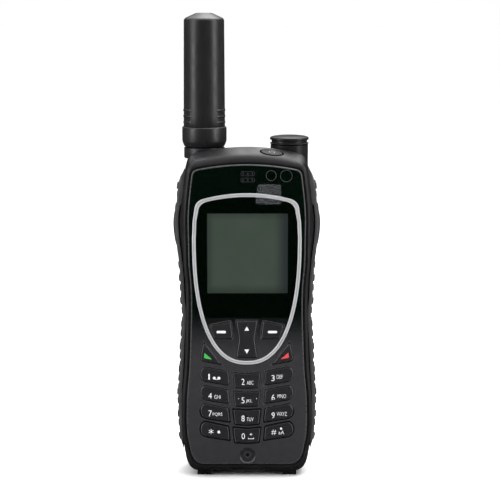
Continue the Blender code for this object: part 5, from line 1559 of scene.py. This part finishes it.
def collar_body(mesh):
    inner = MAST_R + GAP
    top = COLLAR_TOP_Z + 0.15
    profile = [
        (inner, COLLAR_LOW_Z), (COLLAR_R - 1.0, COLLAR_LOW_Z), (COLLAR_R - 0.75, COLLAR_LOW_Z + 0.25),
        (COLLAR_R - 0.1, COLLAR_LOW_Z + 1.9), (COLLAR_R, COLLAR_LOW_Z + 2.4), (COLLAR_R, COLLAR_TOP_Z - 0.5),
        (COLLAR_R - 0.1, COLLAR_TOP_Z - 0.2), (COLLAR_R - 0.3, COLLAR_TOP_Z - 0.04),
        (COLLAR_R - 0.5, COLLAR_TOP_Z),
        (inner, top - 0.15),
    ]
    add_sleeve(mesh, profile, ANT_AXIS, 128)
    with_parting_line(mesh, 0.07)


def radome_body(mesh):
    low = COLLAR_TOP_Z + 0.02
    top = RADOME_TOP_Z
    r = RADOME_TOP_R
    profile = [(0.0, top - 1.6), (r - 1.6, top - 4.2), (RADOME_LOW_R - 1.45, low), (RADOME_LOW_R - 0.08, low)]
    steps = 10
    for i in range(steps + 1):
        share = i / steps
        radius = RADOME_LOW_R - 0.03 + (r - RADOME_LOW_R + 0.03) * share
        profile.append((radius, low + 0.1 + (top - 3.3 - low) * share))
    profile += [
        (r - 0.03, top - 3.0), (r - 0.12, top - 2.7), (r - 0.3, top - 2.35), (r - 0.6, top - 2.05),
        (r - 1.0, top - 1.83),
        (r - 1.6, top - 1.55), (4.2, top - 0.42), (3.5, top - 0.1), (3.0, top), (0.0, top),
    ]
    add_lathe(mesh, profile, ANT_AXIS, 128)
    with_parting_line(mesh, 0.06)


def radome_ribs(mesh):
    for side in (-1, 1):
        for height in (COLLAR_TOP_Z + 6.8, COLLAR_TOP_Z + 4.3, COLLAR_TOP_Z + 1.9):
            rings = []
            for i in range(33):
                share = i / 32
                angle = math.radians(-54 + 108 * share)
                lift = min(1.0, share * 16, (1 - share) * 16)
                if side < 0:
                    angle += math.pi
                ring = []
                for k in range(9):
                    turn = math.pi * k / 8
                    radius = RADOME_LOW_R - 0.23 + 0.38 * math.sin(turn) * lift
                    rise = -0.5 * math.cos(turn)
                    if k in (0, 8):
                        radius = RADOME_LOW_R - 0.65
                    x = ANT_X + radius * math.cos(angle)
                    y = ANT_Y + radius * math.sin(angle)
                    ring.append(mesh.verts.new((x, y, height + rise)))
                rings.append(ring)
            skin(mesh, rings)


collar = built("antenna_collar_look", collar_body)
crease(collar, 40.0)
dress(collar, RADOME.material, "antenna_sleeve", "antenna_plastic", "antenna_collar")
radome = built("antenna_radome_look", radome_body)
join(radome, radome_ribs)
crease(radome, 40.0)
dress(radome, RADOME.material, "antenna_sleeve", "antenna_plastic", "antenna_radome")


# Nodes kept from the frame

KEPT = {
    "battery_pack": DARK, "battery_latch": KEY, "connector_cover": GRIP, "sos_button": ALERT,
    "antenna_mast": METAL,
    "antenna_hinge_pin": METAL, "sos_cover_pin": METAL, "case_screw_1": METAL, "case_screw_2": METAL,
    "case_screw_3": METAL, "case_screw_4": METAL, "antenna_element": BUFF, "gps_patch_antenna": BUFF,
    "main_board": BOARD, "shield_can_rf": TIN, "shield_can_cpu": TIN, "earpiece": TIN, "microphone": TIN,
    "sim_holder": TIN, "sim_card": CARD, "battery_contacts": GOLD, "keypad_mat": SILICONE,
    "case_gasket": SILICONE,
    "dock_connector": INNER, "loudspeaker": INNER, "vibration_motor": METAL, "lcd_module": INNER,
}
for node, surface in KEPT.items():
    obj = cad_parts[node]
    obj.data.materials.clear()
    obj.data.materials.append(surface.material)


# Stage, light and camera

FLOOR = Surface("floor_pale", (0.90, 0.90, 0.90), 0.8).vary(3.0, 0.01)


def floor(mesh):
    """A wide flat sheet just under the object."""
    corners = [(-12000, -12000), (12000, -12000), (12000, 12000), (-12000, 12000)]
    mesh.faces.new([mesh.verts.new((x, y, -0.02)) for x, y in corners])


ground = built("floor", floor)
ground.data.materials.append(FLOOR.material)
ground.visible_glossy = False

world = bpy.data.worlds.new("studio")
world.use_nodes = True
bpy.context.scene.world = world
sky = Nodes(world.node_tree)
background = sky.tree.nodes["Background"]
across, deep, up = sky.axes(sky.add("TexCoord", {}, "Generated"))
above = sky.ranged(up, 0.25, 0.95, 0.0, 0.10, "SMOOTHSTEP")
sides = sky.ranged(sky.math("ABSOLUTE", across), 0.45, 0.95, 0.0, 0.08, "SMOOTHSTEP")
behind = sky.ranged(deep, 0.0, 0.8, 0.0, 0.05, "SMOOTHSTEP")
light = sky.math("ADD", sky.math("ADD", above, sides), sky.math("ADD", behind, 0.004))
# White where the camera sees it, dim in the reflections
seen = sky.add("LightPath", {}, "Is Camera Ray")
sky.feed(background.inputs["Color"], WHITE)
sky.feed(background.inputs["Strength"], sky.math("MAXIMUM", light, seen))
bpy.context.scene.view_settings.view_transform = "Standard"


def aim(obj, target):
    obj.rotation_mode = "QUATERNION"
    obj.rotation_quaternion = (Vector(target) - obj.location).to_track_quat("-Z", "Y")


def area_light(name, place, size, power):
    data = bpy.data.lights.new(name, "AREA")
    data.shape = "RECTANGLE"
    data.size, data.size_y = size
    data.energy = power
    obj = placed(name, data)
    obj.location = place
    aim(obj, MIDDLE)


MIDDLE = (0.0, 0.0, 0.095)
sun = bpy.data.lights.new("sky_light", "SUN")
sun.energy = 3.4
sun.angle = math.radians(110)
lamp = placed("sky_light", sun)
lamp.location = (0.0, 0.0, 1.5)
lamp.rotation_euler = (math.radians(-8), 0.0, 0.0)
area_light("top_light", (0.15, 0.20, 0.90), (0.8, 0.7), 11.0)
area_light("left_light", (-0.80, -0.40, 0.35), (0.30, 0.9), 4.5)
area_light("right_light", (0.80, -0.40, 0.35), (0.30, 0.9), 4.5)

camera_data = bpy.data.cameras.new("camera")
camera_data.sensor_width = 36.0
camera_data.lens = 116.1
camera_data.clip_start = 0.01
camera_data.clip_end = 20.0
camera = placed("camera", camera_data)
camera.location = (0.0, -0.663, 0.196)
aim(camera, (0.0013, -0.0135, 0.0959))
bpy.context.scene.camera = camera

bpy.context.view_layer.update()
